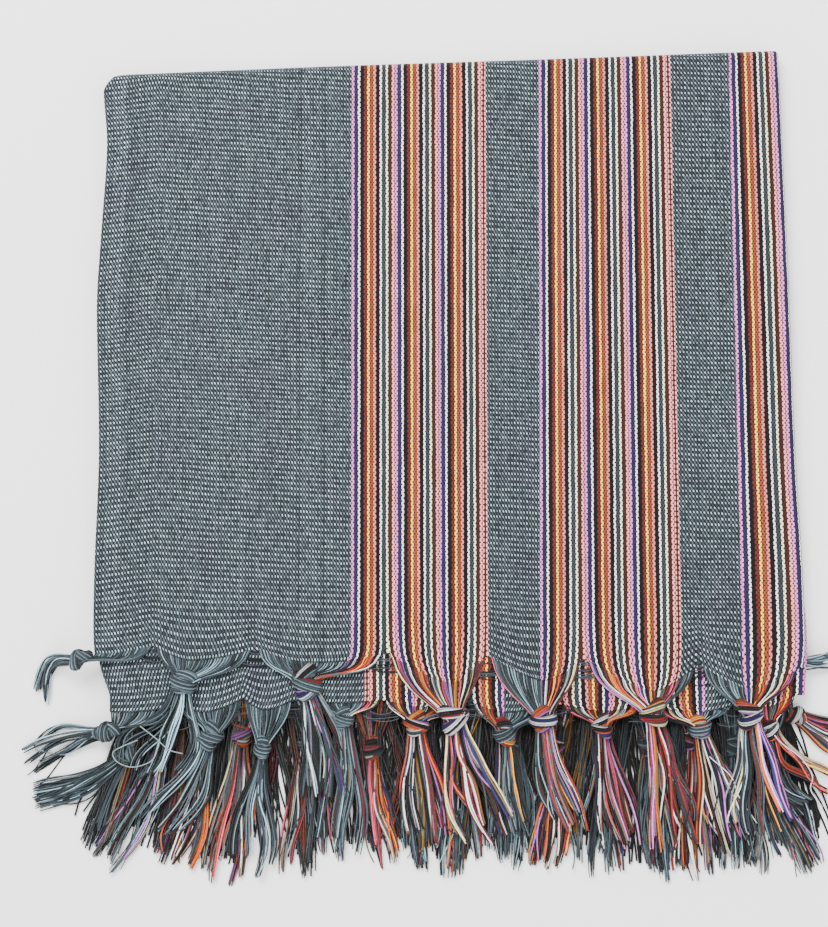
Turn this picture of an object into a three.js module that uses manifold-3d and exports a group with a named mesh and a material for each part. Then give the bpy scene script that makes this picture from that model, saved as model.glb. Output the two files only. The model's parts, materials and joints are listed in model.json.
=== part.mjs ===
// A handwoven cotton stole, folded to a flat block with its knotted tassels together along one side.
// Millimetres, +Z up. The block lies on its flat underside at z = 0, the tassels point to -Y, the
// lengthwise fold is at +X and the free selvedges are at -X.
import * as THREE from "three";
import { mergeVertices } from "three/addons/utils/BufferGeometryUtils.js";
import Module from "manifold-3d";

const wasm = await Module();
wasm.setup();

// ---- driving dimensions -------------------------------------------------------------------
const STOLE_WIDTH = 700; // selvedge to selvedge, folded once
const STOLE_LENGTH = 1800; // without the tassels, folded in half and then in three
const HALF_WIDTH = STOLE_WIDTH / 4; // half of the folded block, in X
const BLOCK_DEPTH = STOLE_LENGTH / 6; // of the folded block, in Y

const STACK_HEIGHT = 12.8; // twelve layers of cloth
const LEAF_WALL = 1.5;
const SEAM_GAP = 0.3;

// The front leaf, which turns down over the top fold and the lengthwise fold.
const TOP_SKIRT = 8.5; // how far it turns down over the top fold
const SIDE_SKIRT = 3; // and over the lengthwise fold
const TOP_ROLL = 4; // how round the folds are, in plan
const SIDE_ROLL = 2.5;
const PLATE_EDGE = 0.5; // rounding of a cut or woven edge
const SKIRT_FADE = 14; // a turned edge flattens out over this length at its ends
const ROLL_STEPS = 3;

// The second leaf lies under it and shows below its hem.
const SECOND_TOP = STACK_HEIGHT - LEAF_WALL - SEAM_GAP;
const SECOND_WALL = 1.3;
const SECOND_INSET = { left: 5, top: 5, right: 3 };

// The hidden layers share one solid, of one rounded lip for each two layers.
const LIP_EDGE = 0.8; // how far a lip rounds away above and below
const INNER_TOP = SECOND_TOP - SECOND_WALL - SEAM_GAP;

// Steps along the outlines.
const SIDE_SAMPLES = 60; // for reading a side's table
const SIDE_STEPS = 12;
const HEM_STEPS = 6; // for each gathered lobe
const LIP_STEPS = 9;
const CORNER_STEPS = 3;
const CORNER = 5; // size of the rounded corner where the two folds meet

// Tassels.
const FLOOR_GAP = 0.4;
const HEM_GAP = 0.5; // between the hem and the yarn gathered below it
const GATHER_WALL = 1.1;
const GATHER_COLUMNS = HEM_STEPS;
const GATHER_SHARE = 0.5; // of the knot's width, where the gathered yarn enters it
const LOCK_WIDTH = 3.4;
const LOCK_HEIGHT = 2.1;
const LOCK_STEPS = 3;
const LOCK_SPACE = 0.72; // a lock's width as a share of its place
const KNOT_SIDES = 6;
const TAIL_FALL = { from: -190, over: 60 }; // in Y, where the tails come down

// ---- tables -------------------------------------------------------------------------------
// Gives each row's values the names of their columns.
function table(columns, rows) {
  return rows.map((row) => Object.fromEntries(columns.map((name, i) => [name, row[i]])));
}

// The front leaf's free selvedge, from the hem to the top fold.
const SELVEDGE = [
  { x: -HALF_WIDTH + 5.5, y: -166 },
  { x: -HALF_WIDTH - 0.5, y: -146 },
  { x: -HALF_WIDTH - 1.3, y: -107 },
  { x: -HALF_WIDTH + 0.1, y: -45 },
  { x: -HALF_WIDTH - 2, y: 25 },
  { x: -HALF_WIDTH - 1, y: 55 },
  { x: -HALF_WIDTH + 1.5, y: 98 },
  { x: -HALF_WIDTH + 1.7, y: 116 },
  { x: -HALF_WIDTH - 0.2, y: 138 },
  { x: -HALF_WIDTH + 1.4, y: BLOCK_DEPTH / 2 - 4.4 },
];
// The top fold, from the selvedge to the lengthwise fold.
const TOP_FOLD = [
  { x: -HALF_WIDTH + 4, y: BLOCK_DEPTH / 2 - 3.4 },
  { x: -126, y: BLOCK_DEPTH / 2 - 1.3 },
  { x: -53, y: BLOCK_DEPTH / 2 + 2.3 },
  { x: 46, y: BLOCK_DEPTH / 2 + 5.5 },
  { x: 161, y: BLOCK_DEPTH / 2 + 9 },
];
// The lengthwise fold, from the hem to the top fold.
const LONG_FOLD = [
  { x: HALF_WIDTH + 0.2, y: -160 },
  { x: HALF_WIDTH + 1.4, y: -139 },
  { x: HALF_WIDTH + 0.7, y: -99 },
  { x: HALF_WIDTH - 1.3, y: -44 },
  { x: HALF_WIDTH - 2.4, y: 31 },
  { x: HALF_WIDTH - 4.6, y: 103 },
  { x: HALF_WIDTH - 6.1, y: 134 },
  { x: HALF_WIDTH - 7.8, y: BLOCK_DEPTH / 2 + 7 },
];
// The hems, as the points where one gather parts from the next. depth is how far the cloth
// between a point and the next one hangs below them.
const FRONT_HEM = [
  { x: -HALF_WIDTH - 0.8, y: -146.2, depth: 1.2 },
  { x: -146.3, y: -142.2, depth: 6 },
  { x: -96.4, y: -144.2, depth: 5 },
  { x: -31.3, y: -146.6, depth: 12 },
  { x: 18.5, y: -147.6, depth: 10 },
  { x: 66.3, y: -149.6, depth: 12 },
  { x: 123.5, y: -152, depth: 11 },
  { x: HALF_WIDTH - 0.3, y: -152.5, depth: 0 },
];
const SECOND_HEM = [
  { x: -167.4, y: -174.1, depth: 1 },
  { x: -133.9, y: -172.2, depth: 4 },
  { x: -101.8, y: -167.8, depth: 5 },
  { x: -77.2, y: -168.8, depth: 1.5 },
  { x: -32.8, y: -168.3, depth: 3 },
  { x: 10.1, y: -169.2, depth: 5 },
  { x: 54.5, y: -170.2, depth: 3 },
  { x: 96.4, y: -171.2, depth: 3 },
  { x: 140.8, y: -171.2, depth: 3 },
  { x: 172, y: -166, depth: 0 },
];
// The hidden layers from the underside up, two layers to a row: how far each pair stays inside
// the front leaf's outline on three sides, and where its fourth side ends.
const LIPS = [
  { left: 2.6, top: 1.4, right: 1.2, end: -147.5 },
  { left: 1.2, top: 0.6, right: 2.2, end: -150.5 },
  { left: 3.6, top: 2.8, right: 0.9, end: -148 },
  { left: 1.8, top: 2.6, right: 2.4, end: -151 },
  { left: 4.2, top: 4, right: 1.5, end: -166 },
];

// Where each leaf's tassels lie. knotLow and knotTop bound a knot. tailNear and tailFar are the
// heights that its tails keep clear of, before and after they come down, so that tassels of
// different leaves pass over each other. dip is the power by which the gathered yarn leaves the
// height of its hem.
const LEVELS = {
  1: { knotLow: 11.4, knotTop: 18, tailNear: 11.4, tailFar: 5.2, dip: 1, hem: STACK_HEIGHT - 0.75 },
  2: { knotLow: 5.6, knotTop: 10.9, tailNear: 5.6, tailFar: 3.6, dip: 1, hem: SECOND_TOP - 0.65 },
  3: { knotLow: FLOOR_GAP, knotTop: 5.2, tailNear: 2.9, tailFar: 2, dip: 0.5, hem: INNER_TOP - 0.9 },
  4: { knotLow: FLOOR_GAP, knotTop: 5.2, tailNear: 0.4, tailFar: 0.4, dip: 0.5, hem: INNER_TOP - 0.9 },
};
const SLATE = 0x5c6d74;
const STRIPES = 0xa9715c;
const MIXED = 0x7c7270;

// The tassels. x and y place the knot and wide and high are its size, tipX and tipY the middle of
// the tail's end, spread how wide that end is, bow its sideways curve, locks its number of locks.
// A lying one comes down to the floor beside the block.
const FRONT_TASSELS = table(
  ["x", "y", "wide", "high", "tipX", "tipY", "spread", "bow", "locks", "lying", "yarn"],
  [
    [-183.5, -152.5, 7.5, 8, -203, -172, 8, -7, 4, true, SLATE],
    [-130.7, -159.3, 13, 9, -151, -209, 40, 2, 8, false, SLATE],
    [-70.6, -158, 12, 9, -58.5, -222, 26, 2, 8, false, SLATE],
    [2.1, -176.4, 15, 11, 23, -239, 34, -3, 8, false, STRIPES],
    [45.9, -177.4, 12.5, 9, 62, -238, 18, -2, 6, false, MIXED],
    [99.9, -174.5, 13.5, 10, 111, -244, 28, 1, 8, false, STRIPES],
    [147.6, -174.5, 13.5, 11, 158, -239, 32, -1, 8, false, STRIPES],
  ],
);
const SECOND_TASSELS = table(
  ["x", "y", "wide", "high", "tipX", "tipY", "spread", "bow", "locks", "lying", "yarn"],
  [
    [-169.5, -184, 9, 10, -212, -199, 18, 3, 7, true, SLATE],
    [-118.1, -185.9, 11.5, 10, -148, -240, 22, 3, 7, false, SLATE],
    [-92.4, -191.8, 7.5, 9, -99, -257, 24, 0, 7, false, SLATE],
    [-52.5, -177, 10, 8, -54, -248, 24, 1, 7, false, MIXED],
    [-16.5, -179.5, 12, 9, -9, -243, 24, -1, 7, false, STRIPES],
    [27.4, -184, 11, 11, 35, -240, 16, -1, 6, false, MIXED],
    [75.2, -180.5, 9.5, 10, 87, -246, 22, -1, 7, false, STRIPES],
    [123.6, -181.5, 11, 9, 139, -246, 30, 0, 7, false, SLATE],
    [158.1, -181.5, 10, 9, 187, -224, 30, -4, 7, false, STRIPES],
  ],
);
// Those of the two layers below come out between each other, each from a stretch of hem that
// reaches gather to both sides of the knot.
const INNER_TASSELS = table(
  ["level", "gather", "x", "y", "wide", "high", "tipX", "tipY", "spread", "bow", "locks", "lying", "yarn"],
  [
    [3, 9, -160, -196, 9, 9, -211, -221, 13, 3, 4, true, SLATE],
    [4, 8, -141, -186, 9, 9, -172, -253, 22, 2, 5, false, MIXED],
    [4, 8, -122, -191, 9, 9, -139, -254, 24, 2, 5, false, STRIPES],
    [3, 8, -103, -185, 10, 9, -112, -262, 26, 1, 5, false, STRIPES],
    [4, 11, -71, -188, 10, 9, -68, -258, 30, 0, 5, false, MIXED],
    [3, 11, -38, -192, 10, 9, -31, -252, 18, -2, 5, false, STRIPES],
    [4, 9, -15, -187, 10, 9, -14, -256, 20, 0, 5, false, SLATE],
    [3, 9, 7, -190, 10, 9, 4, -259, 20, 0, 5, false, MIXED],
    [4, 9, 30, -187, 10, 9, 31, -253, 26, 0, 5, false, SLATE],
    [3, 9, 53, -190, 10, 9, 47, -253, 18, 1, 5, false, STRIPES],
    [4, 9, 76, -187, 10, 9, 74, -257, 26, 0, 5, false, MIXED],
    [3, 9, 99, -190, 10, 9, 105, -262, 20, 0, 5, false, SLATE],
    [4, 9, 121, -187, 10, 9, 122, -259, 22, 0, 5, false, STRIPES],
    [3, 8, 142, -191, 10, 9, 146, -258, 24, 0, 5, false, SLATE],
    [4, 5, 160, -193, 9, 9, 178, -254, 26, -2, 5, false, MIXED],
    [3, 3, 171.5, -176, 9, 9, 217, -190, 22, -3, 5, true, STRIPES],
  ],
);

// ---- small helpers ------------------------------------------------------------------------
const mix = (a, b, share) => a + (b - a) * share;
const clamp01 = (value) => Math.min(1, Math.max(0, value));
const smooth = (value) => clamp01(value) ** 2 * (3 - 2 * clamp01(value));
const plan = (row) => new THREE.Vector2(row.x, row.y);

function geometryOf(vertices, triangles) {
  const geometry = new THREE.BufferGeometry();
  geometry.setAttribute("position", new THREE.Float32BufferAttribute(vertices, 3));
  geometry.setIndex(triangles);
  geometry.computeVertexNormals();
  return geometry;
}

// A side's table as a smooth line of [along, across] points, along rising.
function sideLine(rows, along, across) {
  const points = rows.map((row) => new THREE.Vector2(row[along], row[across]));
  return new THREE.SplineCurve(points).getPoints(SIDE_SAMPLES);
}

function valueOn(line, along) {
  const found = line.findIndex((point) => point.x >= along);
  const end = Math.max(1, found < 0 ? line.length - 1 : found);
  const [a, b] = [line[end - 1], line[end]];
  return mix(a.y, b.y, (along - a.x) / (b.x - a.x));
}

// The hem's line: one lobe between each two rows of its table.
function hemLine(rows) {
  const line = [];
  rows.slice(0, -1).forEach((row, i) => {
    const next = rows[i + 1];
    for (let k = 0; k < HEM_STEPS; k++) {
      const share = k / HEM_STEPS;
      const lobe = row.depth * Math.sin(Math.PI * share);
      line.push(new THREE.Vector2(mix(row.x, next.x, share), mix(row.y, next.y, share) - lobe));
    }
  });
  line.push(plan(rows[rows.length - 1]));
  return line;
}

const SELVEDGE_LINE = sideLine(SELVEDGE, "y", "x");
const TOP_LINE = sideLine(TOP_FOLD, "x", "y");
const LONG_LINE = sideLine(LONG_FOLD, "y", "x");

// ---- outlines -----------------------------------------------------------------------------
// An outline is a clockwise loop of points that know which side they are on, how far along it,
// and which way is inward.
function loopOf(sides) {
  const loop = [];
  for (const { side, points } of sides) {
    points.forEach((point, i) => {
      const before = points[Math.max(0, i - 1)];
      const after = points[Math.min(points.length - 1, i + 1)];
      const way = after.clone().sub(before).normalize();
      loop.push({ side, x: point.x, y: point.y, inX: way.y, inY: -way.x });
    });
  }
  return loop;
}

function roundCorner(from, to) {
  const peak = new THREE.Vector2(to.x, from.y);
  return new THREE.QuadraticBezierCurve(from, peak, to).getPoints(CORNER_STEPS).slice(1, -1);
}

function evenly(steps, from, to, place) {
  return Array.from({ length: steps + 1 }, (_, i) => place(mix(from, to, i / steps)));
}

// The loop of a layer that stays inside the front leaf's outline by inset and ends at its hem.
function layerOutline(inset, hem, steps) {
  const [hemStart, hemEnd] = [hem[0], hem[hem.length - 1]];
  const leftAt = (y) => new THREE.Vector2(valueOn(SELVEDGE_LINE, y) + inset.left, y);
  const topAt = (x) => new THREE.Vector2(x, valueOn(TOP_LINE, x) - inset.top);
  const rightAt = (y) => new THREE.Vector2(valueOn(LONG_LINE, y) - inset.right, y);
  const corners = { left: SELVEDGE[SELVEDGE.length - 1].x, right: LONG_FOLD[LONG_FOLD.length - 1].x };
  const top = evenly(steps, corners.left + inset.left + 2.5, corners.right - inset.right - CORNER, topAt);
  const left = evenly(steps, hemStart.y + 3, top[0].y - 1, leftAt);
  const right = evenly(steps, top[steps].y - CORNER, hemEnd.y + 3, rightAt);
  return loopOf([
    { side: "left", points: left },
    { side: "top", points: top },
    { side: "corner", points: roundCorner(top[steps], right[0]) },
    { side: "right", points: right },
    { side: "hem", points: [...hem].reverse() },
  ]);
}

// ---- solids from rings --------------------------------------------------------------------
// Joins closed rings of equal length, each [x, y, z] points, and closes the first and the last.
function ringSolid(rings) {
  const count = rings[0].length;
  const triangles = [];
  for (let r = 0; r + 1 < rings.length; r++) {
    for (let i = 0; i < count; i++) {
      const [a, b] = [r * count + i, r * count + ((i + 1) % count)];
      triangles.push(a, b + count, b, a, a + count, b + count);
    }
  }
  const cap = (ring, first, isLast) => {
    const flat = ring.map(([x, y]) => new THREE.Vector2(x, y));
    const faces = count === 3 ? [[0, 2, 1]] : THREE.ShapeUtils.triangulateShape(flat, []);
    for (const [a, b, c] of faces) {
      triangles.push(first + a, first + (isLast ? b : c), first + (isLast ? c : b));
    }
  };
  cap(rings[0], 0, false);
  cap(rings[rings.length - 1], (rings.length - 1) * count, true);
  return geometryOf(rings.flat(2), triangles);
}

// How far an edge turns down, from 0 for a plain edge to 1 in the middle of a fold.
function turnOf(point) {
  const fromSelvedge = smooth((point.x + HALF_WIDTH) / SKIRT_FADE - 0.3);
  const fromHem = smooth((point.y + BLOCK_DEPTH / 2) / SKIRT_FADE);
  const turns = { left: 0, top: fromSelvedge, corner: 1, right: fromHem, hem: 0 };
  return turns[point.side];
}

// The front leaf: a wall of even thickness that turns down over its two folds.
function frontLeaf() {
  const outline = layerOutline({ left: 0, top: 0, right: 0 }, hemLine(FRONT_HEM), SIDE_STEPS);
  const edges = outline.map((point) => {
    const turn = turnOf(point);
    const isSide = point.side === "right";
    return {
      ...point,
      turn,
      roll: mix(PLATE_EDGE, isSide ? SIDE_ROLL : TOP_ROLL, turn),
      drop: mix(PLATE_EDGE, isSide ? SIDE_SKIRT : TOP_SKIRT, turn),
    };
  });
  const outer = [];
  const inner = [];
  for (let k = 0; k <= ROLL_STEPS; k++) {
    const angle = (k / ROLL_STEPS) * (Math.PI / 2);
    const [across, down] = [Math.sin(angle), 1 - Math.cos(angle)];
    outer.push(
      edges.map((e) => {
        const inset = e.roll * (1 - across);
        return [e.x + e.inX * inset, e.y + e.inY * inset, STACK_HEIGHT - e.drop * down];
      }),
    );
    inner.push(
      edges.map((e) => {
        const turned = e.roll * (1 - across) + LEAF_WALL * across;
        const plain = mix(1.4, PLATE_EDGE / 2, k / ROLL_STEPS);
        const inset = mix(plain, turned, e.turn);
        const turnedZ = STACK_HEIGHT - e.drop * down - LEAF_WALL * (1 - down);
        const plainZ = STACK_HEIGHT - LEAF_WALL + (k === ROLL_STEPS ? PLATE_EDGE / 2 : 0);
        return [e.x + e.inX * inset, e.y + e.inY * inset, mix(plainZ, turnedZ, e.turn)];
      }),
    );
  }
  return ringSolid([...inner, ...outer.reverse()]);
}

// A flat leaf with a rounded rim.
function flatLeaf(outline, top, wall) {
  const edge = wall / 4;
  const levels = [
    { z: top - wall, inset: edge },
    { z: top - wall + edge, inset: 0 },
    { z: top - edge, inset: 0 },
    { z: top, inset: edge },
  ];
  const rings = levels.map(({ z, inset }) =>
    outline.map((p) => [p.x + p.inX * inset, p.y + p.inY * inset, z]),
  );
  return ringSolid(rings);
}

// The hidden layers: a stack of lips, each a ring that rounds out and in again.
function innerLayers() {
  const lipHeight = INNER_TOP / LIPS.length;
  const rings = [];
  LIPS.forEach((lip, i) => {
    const endAt = (x) => new THREE.Vector2(x, mix(lip.end + 1.5, lip.end, x / 2 / HALF_WIDTH + 0.5));
    const end = evenly(LIP_STEPS, lip.left - HALF_WIDTH, HALF_WIDTH - lip.right, endAt);
    const loop = layerOutline(lip, end, LIP_STEPS);
    const shares = i === LIPS.length - 1 ? [0.08, 0.5, 0.8, 1] : [0.08, 0.5, 0.92];
    if (i === 0) shares[0] = 0;
    for (const share of shares) {
      const inset = LIP_EDGE * Math.abs(2 * share - 1) ** 2;
      rings.push(loop.map((p) => [p.x + p.inX * inset, p.y + p.inY * inset, (i + share) * lipHeight]));
    }
  });
  return ringSolid(rings);
}

// ---- tassels ------------------------------------------------------------------------------
function solidOf(geometry) {
  const bare = geometry.clone();
  for (const name of ["normal", "uv"]) {
    bare.deleteAttribute(name);
  }
  const merged = mergeVertices(bare, 1e-5);
  const vertProperties = new Float32Array(merged.attributes.position.array);
  const triVerts = new Uint32Array(merged.index.array);
  return new wasm.Manifold(new wasm.Mesh({ numProp: 3, vertProperties, triVerts }));
}

function geometryFrom(solid) {
  const { vertProperties, triVerts } = solid.getMesh();
  return geometryOf(Array.from(vertProperties), Array.from(triVerts));
}

// The height that a leaf's tails keep clear of at a place along Y.
function tailFloor(level, y) {
  return mix(level.tailNear, level.tailFar, smooth((TAIL_FALL.from - y) / TAIL_FALL.over));
}

// The overhand knot: a bead along the tail's way.
function knot(row, level, way) {
  const rings = [
    { along: -0.5, out: 0 },
    { along: -0.36, out: 0.38 },
    { along: 0, out: 0.54 },
    { along: 0.36, out: 0.38 },
    { along: 0.5, out: 0 },
  ];
  const profile = rings.map(({ along, out }) => new THREE.Vector2(out, along));
  const bead = new THREE.LatheGeometry(profile, KNOT_SIDES);
  bead.scale(row.wide, row.high, level.knotTop - level.knotLow);
  bead.rotateZ(Math.atan2(way.y, way.x) - Math.PI / 2);
  bead.translate(row.x, row.y, (level.knotLow + level.knotTop) / 2);
  return solidOf(bead);
}

// The warp ends drawn together from their stretch of the hem into the knot, as a thin wedge.
function gather(row, level, hem) {
  const knotZ = (level.knotLow + level.knotTop) / 2;
  const tops = [];
  const bottoms = [];
  for (const share of [0, 0.5, 1]) {
    for (let i = 0; i <= GATHER_COLUMNS; i++) {
      const column = i / GATHER_COLUMNS;
      const x = mix(row.from + 1.2 * HEM_GAP, row.to - 1.2 * HEM_GAP, column);
      const y = valueOn(hem, x) - HEM_GAP;
      const inKnot = row.x + (column - 0.5) * GATHER_SHARE * row.wide;
      const drawn = 1 - (1 - share) ** 1.25;
      const z = mix(level.hem, knotZ, share ** level.dip);
      const half = mix(GATHER_WALL, 3 * GATHER_WALL, share * share) / 2;
      const at = [mix(x, inKnot, drawn), mix(y, row.y, share)];
      tops.push([...at, z + half]);
      bottoms.push([...at, z - half]);
    }
  }
  return solidOf(sheetSolid(tops, bottoms, GATHER_COLUMNS + 1, 3));
}

// A closed plate between two grids of points.
function sheetSolid(tops, bottoms, columns, rows) {
  const count = tops.length;
  const triangles = [];
  for (let r = 0; r + 1 < rows; r++) {
    for (let c = 0; c + 1 < columns; c++) {
      const a = r * columns + c;
      const [b, d, e] = [a + 1, a + columns, a + columns + 1];
      triangles.push(a, d, b, b, d, e);
      triangles.push(count + a, count + b, count + d, count + b, count + e, count + d);
    }
  }
  const rim = [];
  for (let c = 0; c < columns; c++) rim.push(c);
  for (let r = 1; r < rows; r++) rim.push(r * columns + columns - 1);
  for (let c = columns - 2; c >= 0; c--) rim.push((rows - 1) * columns + c);
  for (let r = rows - 2; r > 0; r--) rim.push(r * columns);
  rim.forEach((a, i) => {
    const b = rim[(i + 1) % rim.length];
    triangles.push(a, b, count + a, b, count + b, count + a);
  });
  return geometryOf([...tops, ...bottoms].flat(), triangles);
}

// One three-sided lock of yarn from the knot to its tip.
function lock(row, level, place) {
  const side = (place + 0.5) / row.locks - 0.5;
  const root = new THREE.Vector2(row.x, row.y);
  const tip = new THREE.Vector2(row.tipX, row.tipY);
  const way = tip.clone().sub(root).normalize();
  const across = new THREE.Vector2(way.y, -way.x);
  const start = root.clone().addScaledVector(across, side * row.wide * 0.7).addScaledVector(way, 1);
  const short = 4 * Math.abs(side) + 3 * Math.abs(Math.sin(5 * place + row.x));
  const end = tip.clone().addScaledVector(across, side * row.spread).addScaledVector(way, -short);
  const middle = start.clone().lerp(end, 0.45);
  middle.addScaledVector(across, 1.6 * row.bow + side * row.spread * 0.15);
  const curve = new THREE.QuadraticBezierCurve(start, middle, end);
  const knotZ = (level.knotLow + level.knotTop) / 2;
  const rings = [];
  for (let k = 0; k <= LOCK_STEPS; k++) {
    const along = k / LOCK_STEPS;
    const point = curve.getPoint(along);
    const tangent = curve.getTangent(along);
    const room = mix(row.wide * 0.7, row.spread, along) / row.locks;
    const width = Math.min(LOCK_WIDTH, room * LOCK_SPACE) * (k === LOCK_STEPS ? 0.6 : 1);
    const height = LOCK_HEIGHT * mix(1, 0.6, along);
    const low = row.lying
      ? mix(level.knotLow, FLOOR_GAP, smooth(along * 1.4))
      : tailFloor(level, point.y);
    const z = mix(knotZ - height / 2, low, smooth(along * 3));
    const [sideX, sideY] = [(tangent.y * width) / 2, (-tangent.x * width) / 2];
    rings.push([
      [point.x - sideX, point.y - sideY, z],
      [point.x + sideX, point.y + sideY, z],
      [point.x, point.y, z + height],
    ]);
  }
  return solidOf(ringSolid(rings));
}

function tassel(row, level, hem) {
  const way = new THREE.Vector2(row.tipX - row.x, row.tipY - row.y).normalize();
  let solid = knot(row, level, way).add(gather(row, level, hem));
  for (let place = 0; place < row.locks; place++) {
    solid = solid.add(lock(row, level, place));
  }
  return geometryFrom(solid);
}

// ---- the stole ----------------------------------------------------------------------------
const stole = new THREE.Group();

function addNode(name, geometry, color) {
  const material = new THREE.MeshStandardMaterial({ color, roughness: 0.9, metalness: 0 });
  const mesh = new THREE.Mesh(geometry, material);
  mesh.name = name;
  stole.add(mesh);
}

const frontHem = hemLine(FRONT_HEM);
const secondHem = hemLine(SECOND_HEM);
const secondOutline = layerOutline(SECOND_INSET, secondHem, SIDE_STEPS);
const innerEnd = LIPS[LIPS.length - 1].end;
const innerHem = [new THREE.Vector2(-200, innerEnd), new THREE.Vector2(200, innerEnd)];

addNode("inner_layers", innerLayers(), SLATE);
addNode("second_leaf", flatLeaf(secondOutline, SECOND_TOP, SECOND_WALL), SLATE);
addNode("front_leaf", frontLeaf(), SLATE);

FRONT_TASSELS.forEach((row, i) => {
  const stretch = { ...row, from: FRONT_HEM[i].x, to: FRONT_HEM[i + 1].x };
  addNode(`front_tassel_${i + 1}`, tassel(stretch, LEVELS[1], frontHem), row.yarn);
});
SECOND_TASSELS.forEach((row, i) => {
  const stretch = { ...row, from: SECOND_HEM[i].x, to: SECOND_HEM[i + 1].x };
  addNode(`second_tassel_${i + 1}`, tassel(stretch, LEVELS[2], secondHem), row.yarn);
});
INNER_TASSELS.forEach((row, i) => {
  const stretch = { ...row, from: row.x - row.gather, to: row.x + row.gather };
  addNode(`inner_tassel_${i + 1}`, tassel(stretch, LEVELS[row.level], innerHem), row.yarn);
});

export default stole;
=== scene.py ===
"""A folded handwoven cotton stole with knotted tassels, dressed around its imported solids."""

import json
import math

import bpy
import numpy as np
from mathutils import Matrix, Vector


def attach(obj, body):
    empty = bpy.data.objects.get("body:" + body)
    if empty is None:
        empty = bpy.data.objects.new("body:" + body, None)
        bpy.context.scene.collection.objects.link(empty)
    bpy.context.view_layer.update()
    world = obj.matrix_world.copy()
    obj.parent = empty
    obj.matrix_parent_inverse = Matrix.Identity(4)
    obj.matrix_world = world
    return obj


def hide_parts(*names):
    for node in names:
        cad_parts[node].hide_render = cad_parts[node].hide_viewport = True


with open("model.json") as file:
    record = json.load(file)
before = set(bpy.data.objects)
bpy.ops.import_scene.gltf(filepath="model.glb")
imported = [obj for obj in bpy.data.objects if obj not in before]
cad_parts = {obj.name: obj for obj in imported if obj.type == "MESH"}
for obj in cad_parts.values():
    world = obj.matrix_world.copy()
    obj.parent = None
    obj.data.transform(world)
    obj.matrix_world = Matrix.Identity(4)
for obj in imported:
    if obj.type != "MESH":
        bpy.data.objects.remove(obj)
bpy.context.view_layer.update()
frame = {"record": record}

bl_info = {
    "name": "Folded stole",
    "version": (1, 0, 0),
    "blender": (4, 5, 0),
    "location": "View3D > Sidebar > Stole",
    "description": "Builds a folded handwoven stole with knotted tassels",
    "category": "Object",
}

BODY = "root"
MM = 0.001

# ---- the cloth's construction ----
# The cloth has ENDS warp ends and is folded at the middle one; EDGE_END lies on the fold's edge.
# A group of stripes starts at each of GROUP_STARTS and holds three repeats of STRIPES and a
# closing stripe.
ENDS = 906
EDGE_END = 442
GROUP_STARTS = (165, 287, 408, 531, 654)
REPEATS = 3
CLOSING_ENDS = 3
# One repeat, from left to right: (name, ends, colour).
STRIPES = (
    ("lilac", 2, (0.69, 0.41, 0.62)),
    ("navy", 2, (0.135, 0.11, 0.215)),
    ("white", 2, (0.97, 0.97, 0.97)),
    ("black", 2, (0.08, 0.054, 0.057)),
    ("maroon", 2, (0.30, 0.12, 0.105)),
    ("apricot", 2, (0.98, 0.68, 0.25)),
    ("rust", 2, (0.44, 0.20, 0.12)),
    ("salmon", 2, (0.66, 0.385, 0.36)),
    ("black", 2, (0.08, 0.054, 0.057)),
    ("white", 2, (0.97, 0.97, 0.97)),
    ("slate", 2, (0.155, 0.17, 0.18)),
    ("cream", 2, (0.97, 0.92, 0.74)),
    ("brown", 2, (0.19, 0.10, 0.08)),
    ("pink", 2, (0.80, 0.49, 0.48)),
)
# These yarns show more of their colour where they are free of the weave.
FREED = {"maroon": (0.60, 0.08, 0.10), "rust": (0.80, 0.33, 0.08), "navy": (0.14, 0.13, 0.36),
         "black": (0.065, 0.05, 0.055), "brown": (0.29, 0.13, 0.10), "slate": (0.23, 0.28, 0.31),
         "pink": (0.86, 0.32, 0.44), "lilac": (0.72, 0.42, 0.72), "salmon": (0.82, 0.31, 0.22),
         "apricot": (0.95, 0.64, 0.20), "cream": (0.93, 0.84, 0.62)}
FREED_PLAIN = ((0.49, 0.59, 0.63), (0.235, 0.285, 0.315))
REPEAT_ENDS = sum(ends for _, ends, _ in STRIPES)
GROUP_ENDS = REPEATS * REPEAT_ENDS + CLOSING_ENDS

# ---- the folded shape, in millimetres ----
STACK_HEIGHT = 12.8
LEAF_WALL = 0.95
# Where ends are further apart than this at the hem, the cloth is open.
OPENING = 3.6
SECOND_TOP = 11.0
# The front leaf's free selvedge, top fold and lengthwise fold.
SELVEDGE = ((-169.5, -166), (-175.5, -146), (-176.3, -107), (-174.9, -45), (-177, 25), (-176, 55),
            (-173.5, 98), (-173.3, 116), (-175.2, 138), (-173.6, 145.6))
TOP_FOLD = ((-176, 141.5), (-172.5, 146.2), (-168, 148.6), (-150, 149.5), (-126, 150.6),
            (-53, 153.6), (46, 156.9), (161, 161.2), (172, 161.4))
LONG_FOLD = ((175.2, -160), (176.4, -139), (175.7, -99), (173.3, -44), (171.8, 31), (169.9, 103),
             (169.1, 134), (168.2, 157))
TOP_ROLL, TOP_DROP = 4.0, 8.0
SIDE_ROLL, SIDE_DROP = 2.5, 3.0
# Where bands of the cloth lie on the front leaf: (end, x at BAND_HIGH, x at BAND_LOW).
BAND_HIGH, BAND_LOW = 82, -119
BANDS = ((165, -48.7, -48.3), (252, 19.2, 19.4), (287, 46.0, 45.3), (374, 113.6, 115.0),
         (408, 143.4, 144.9))
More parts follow.
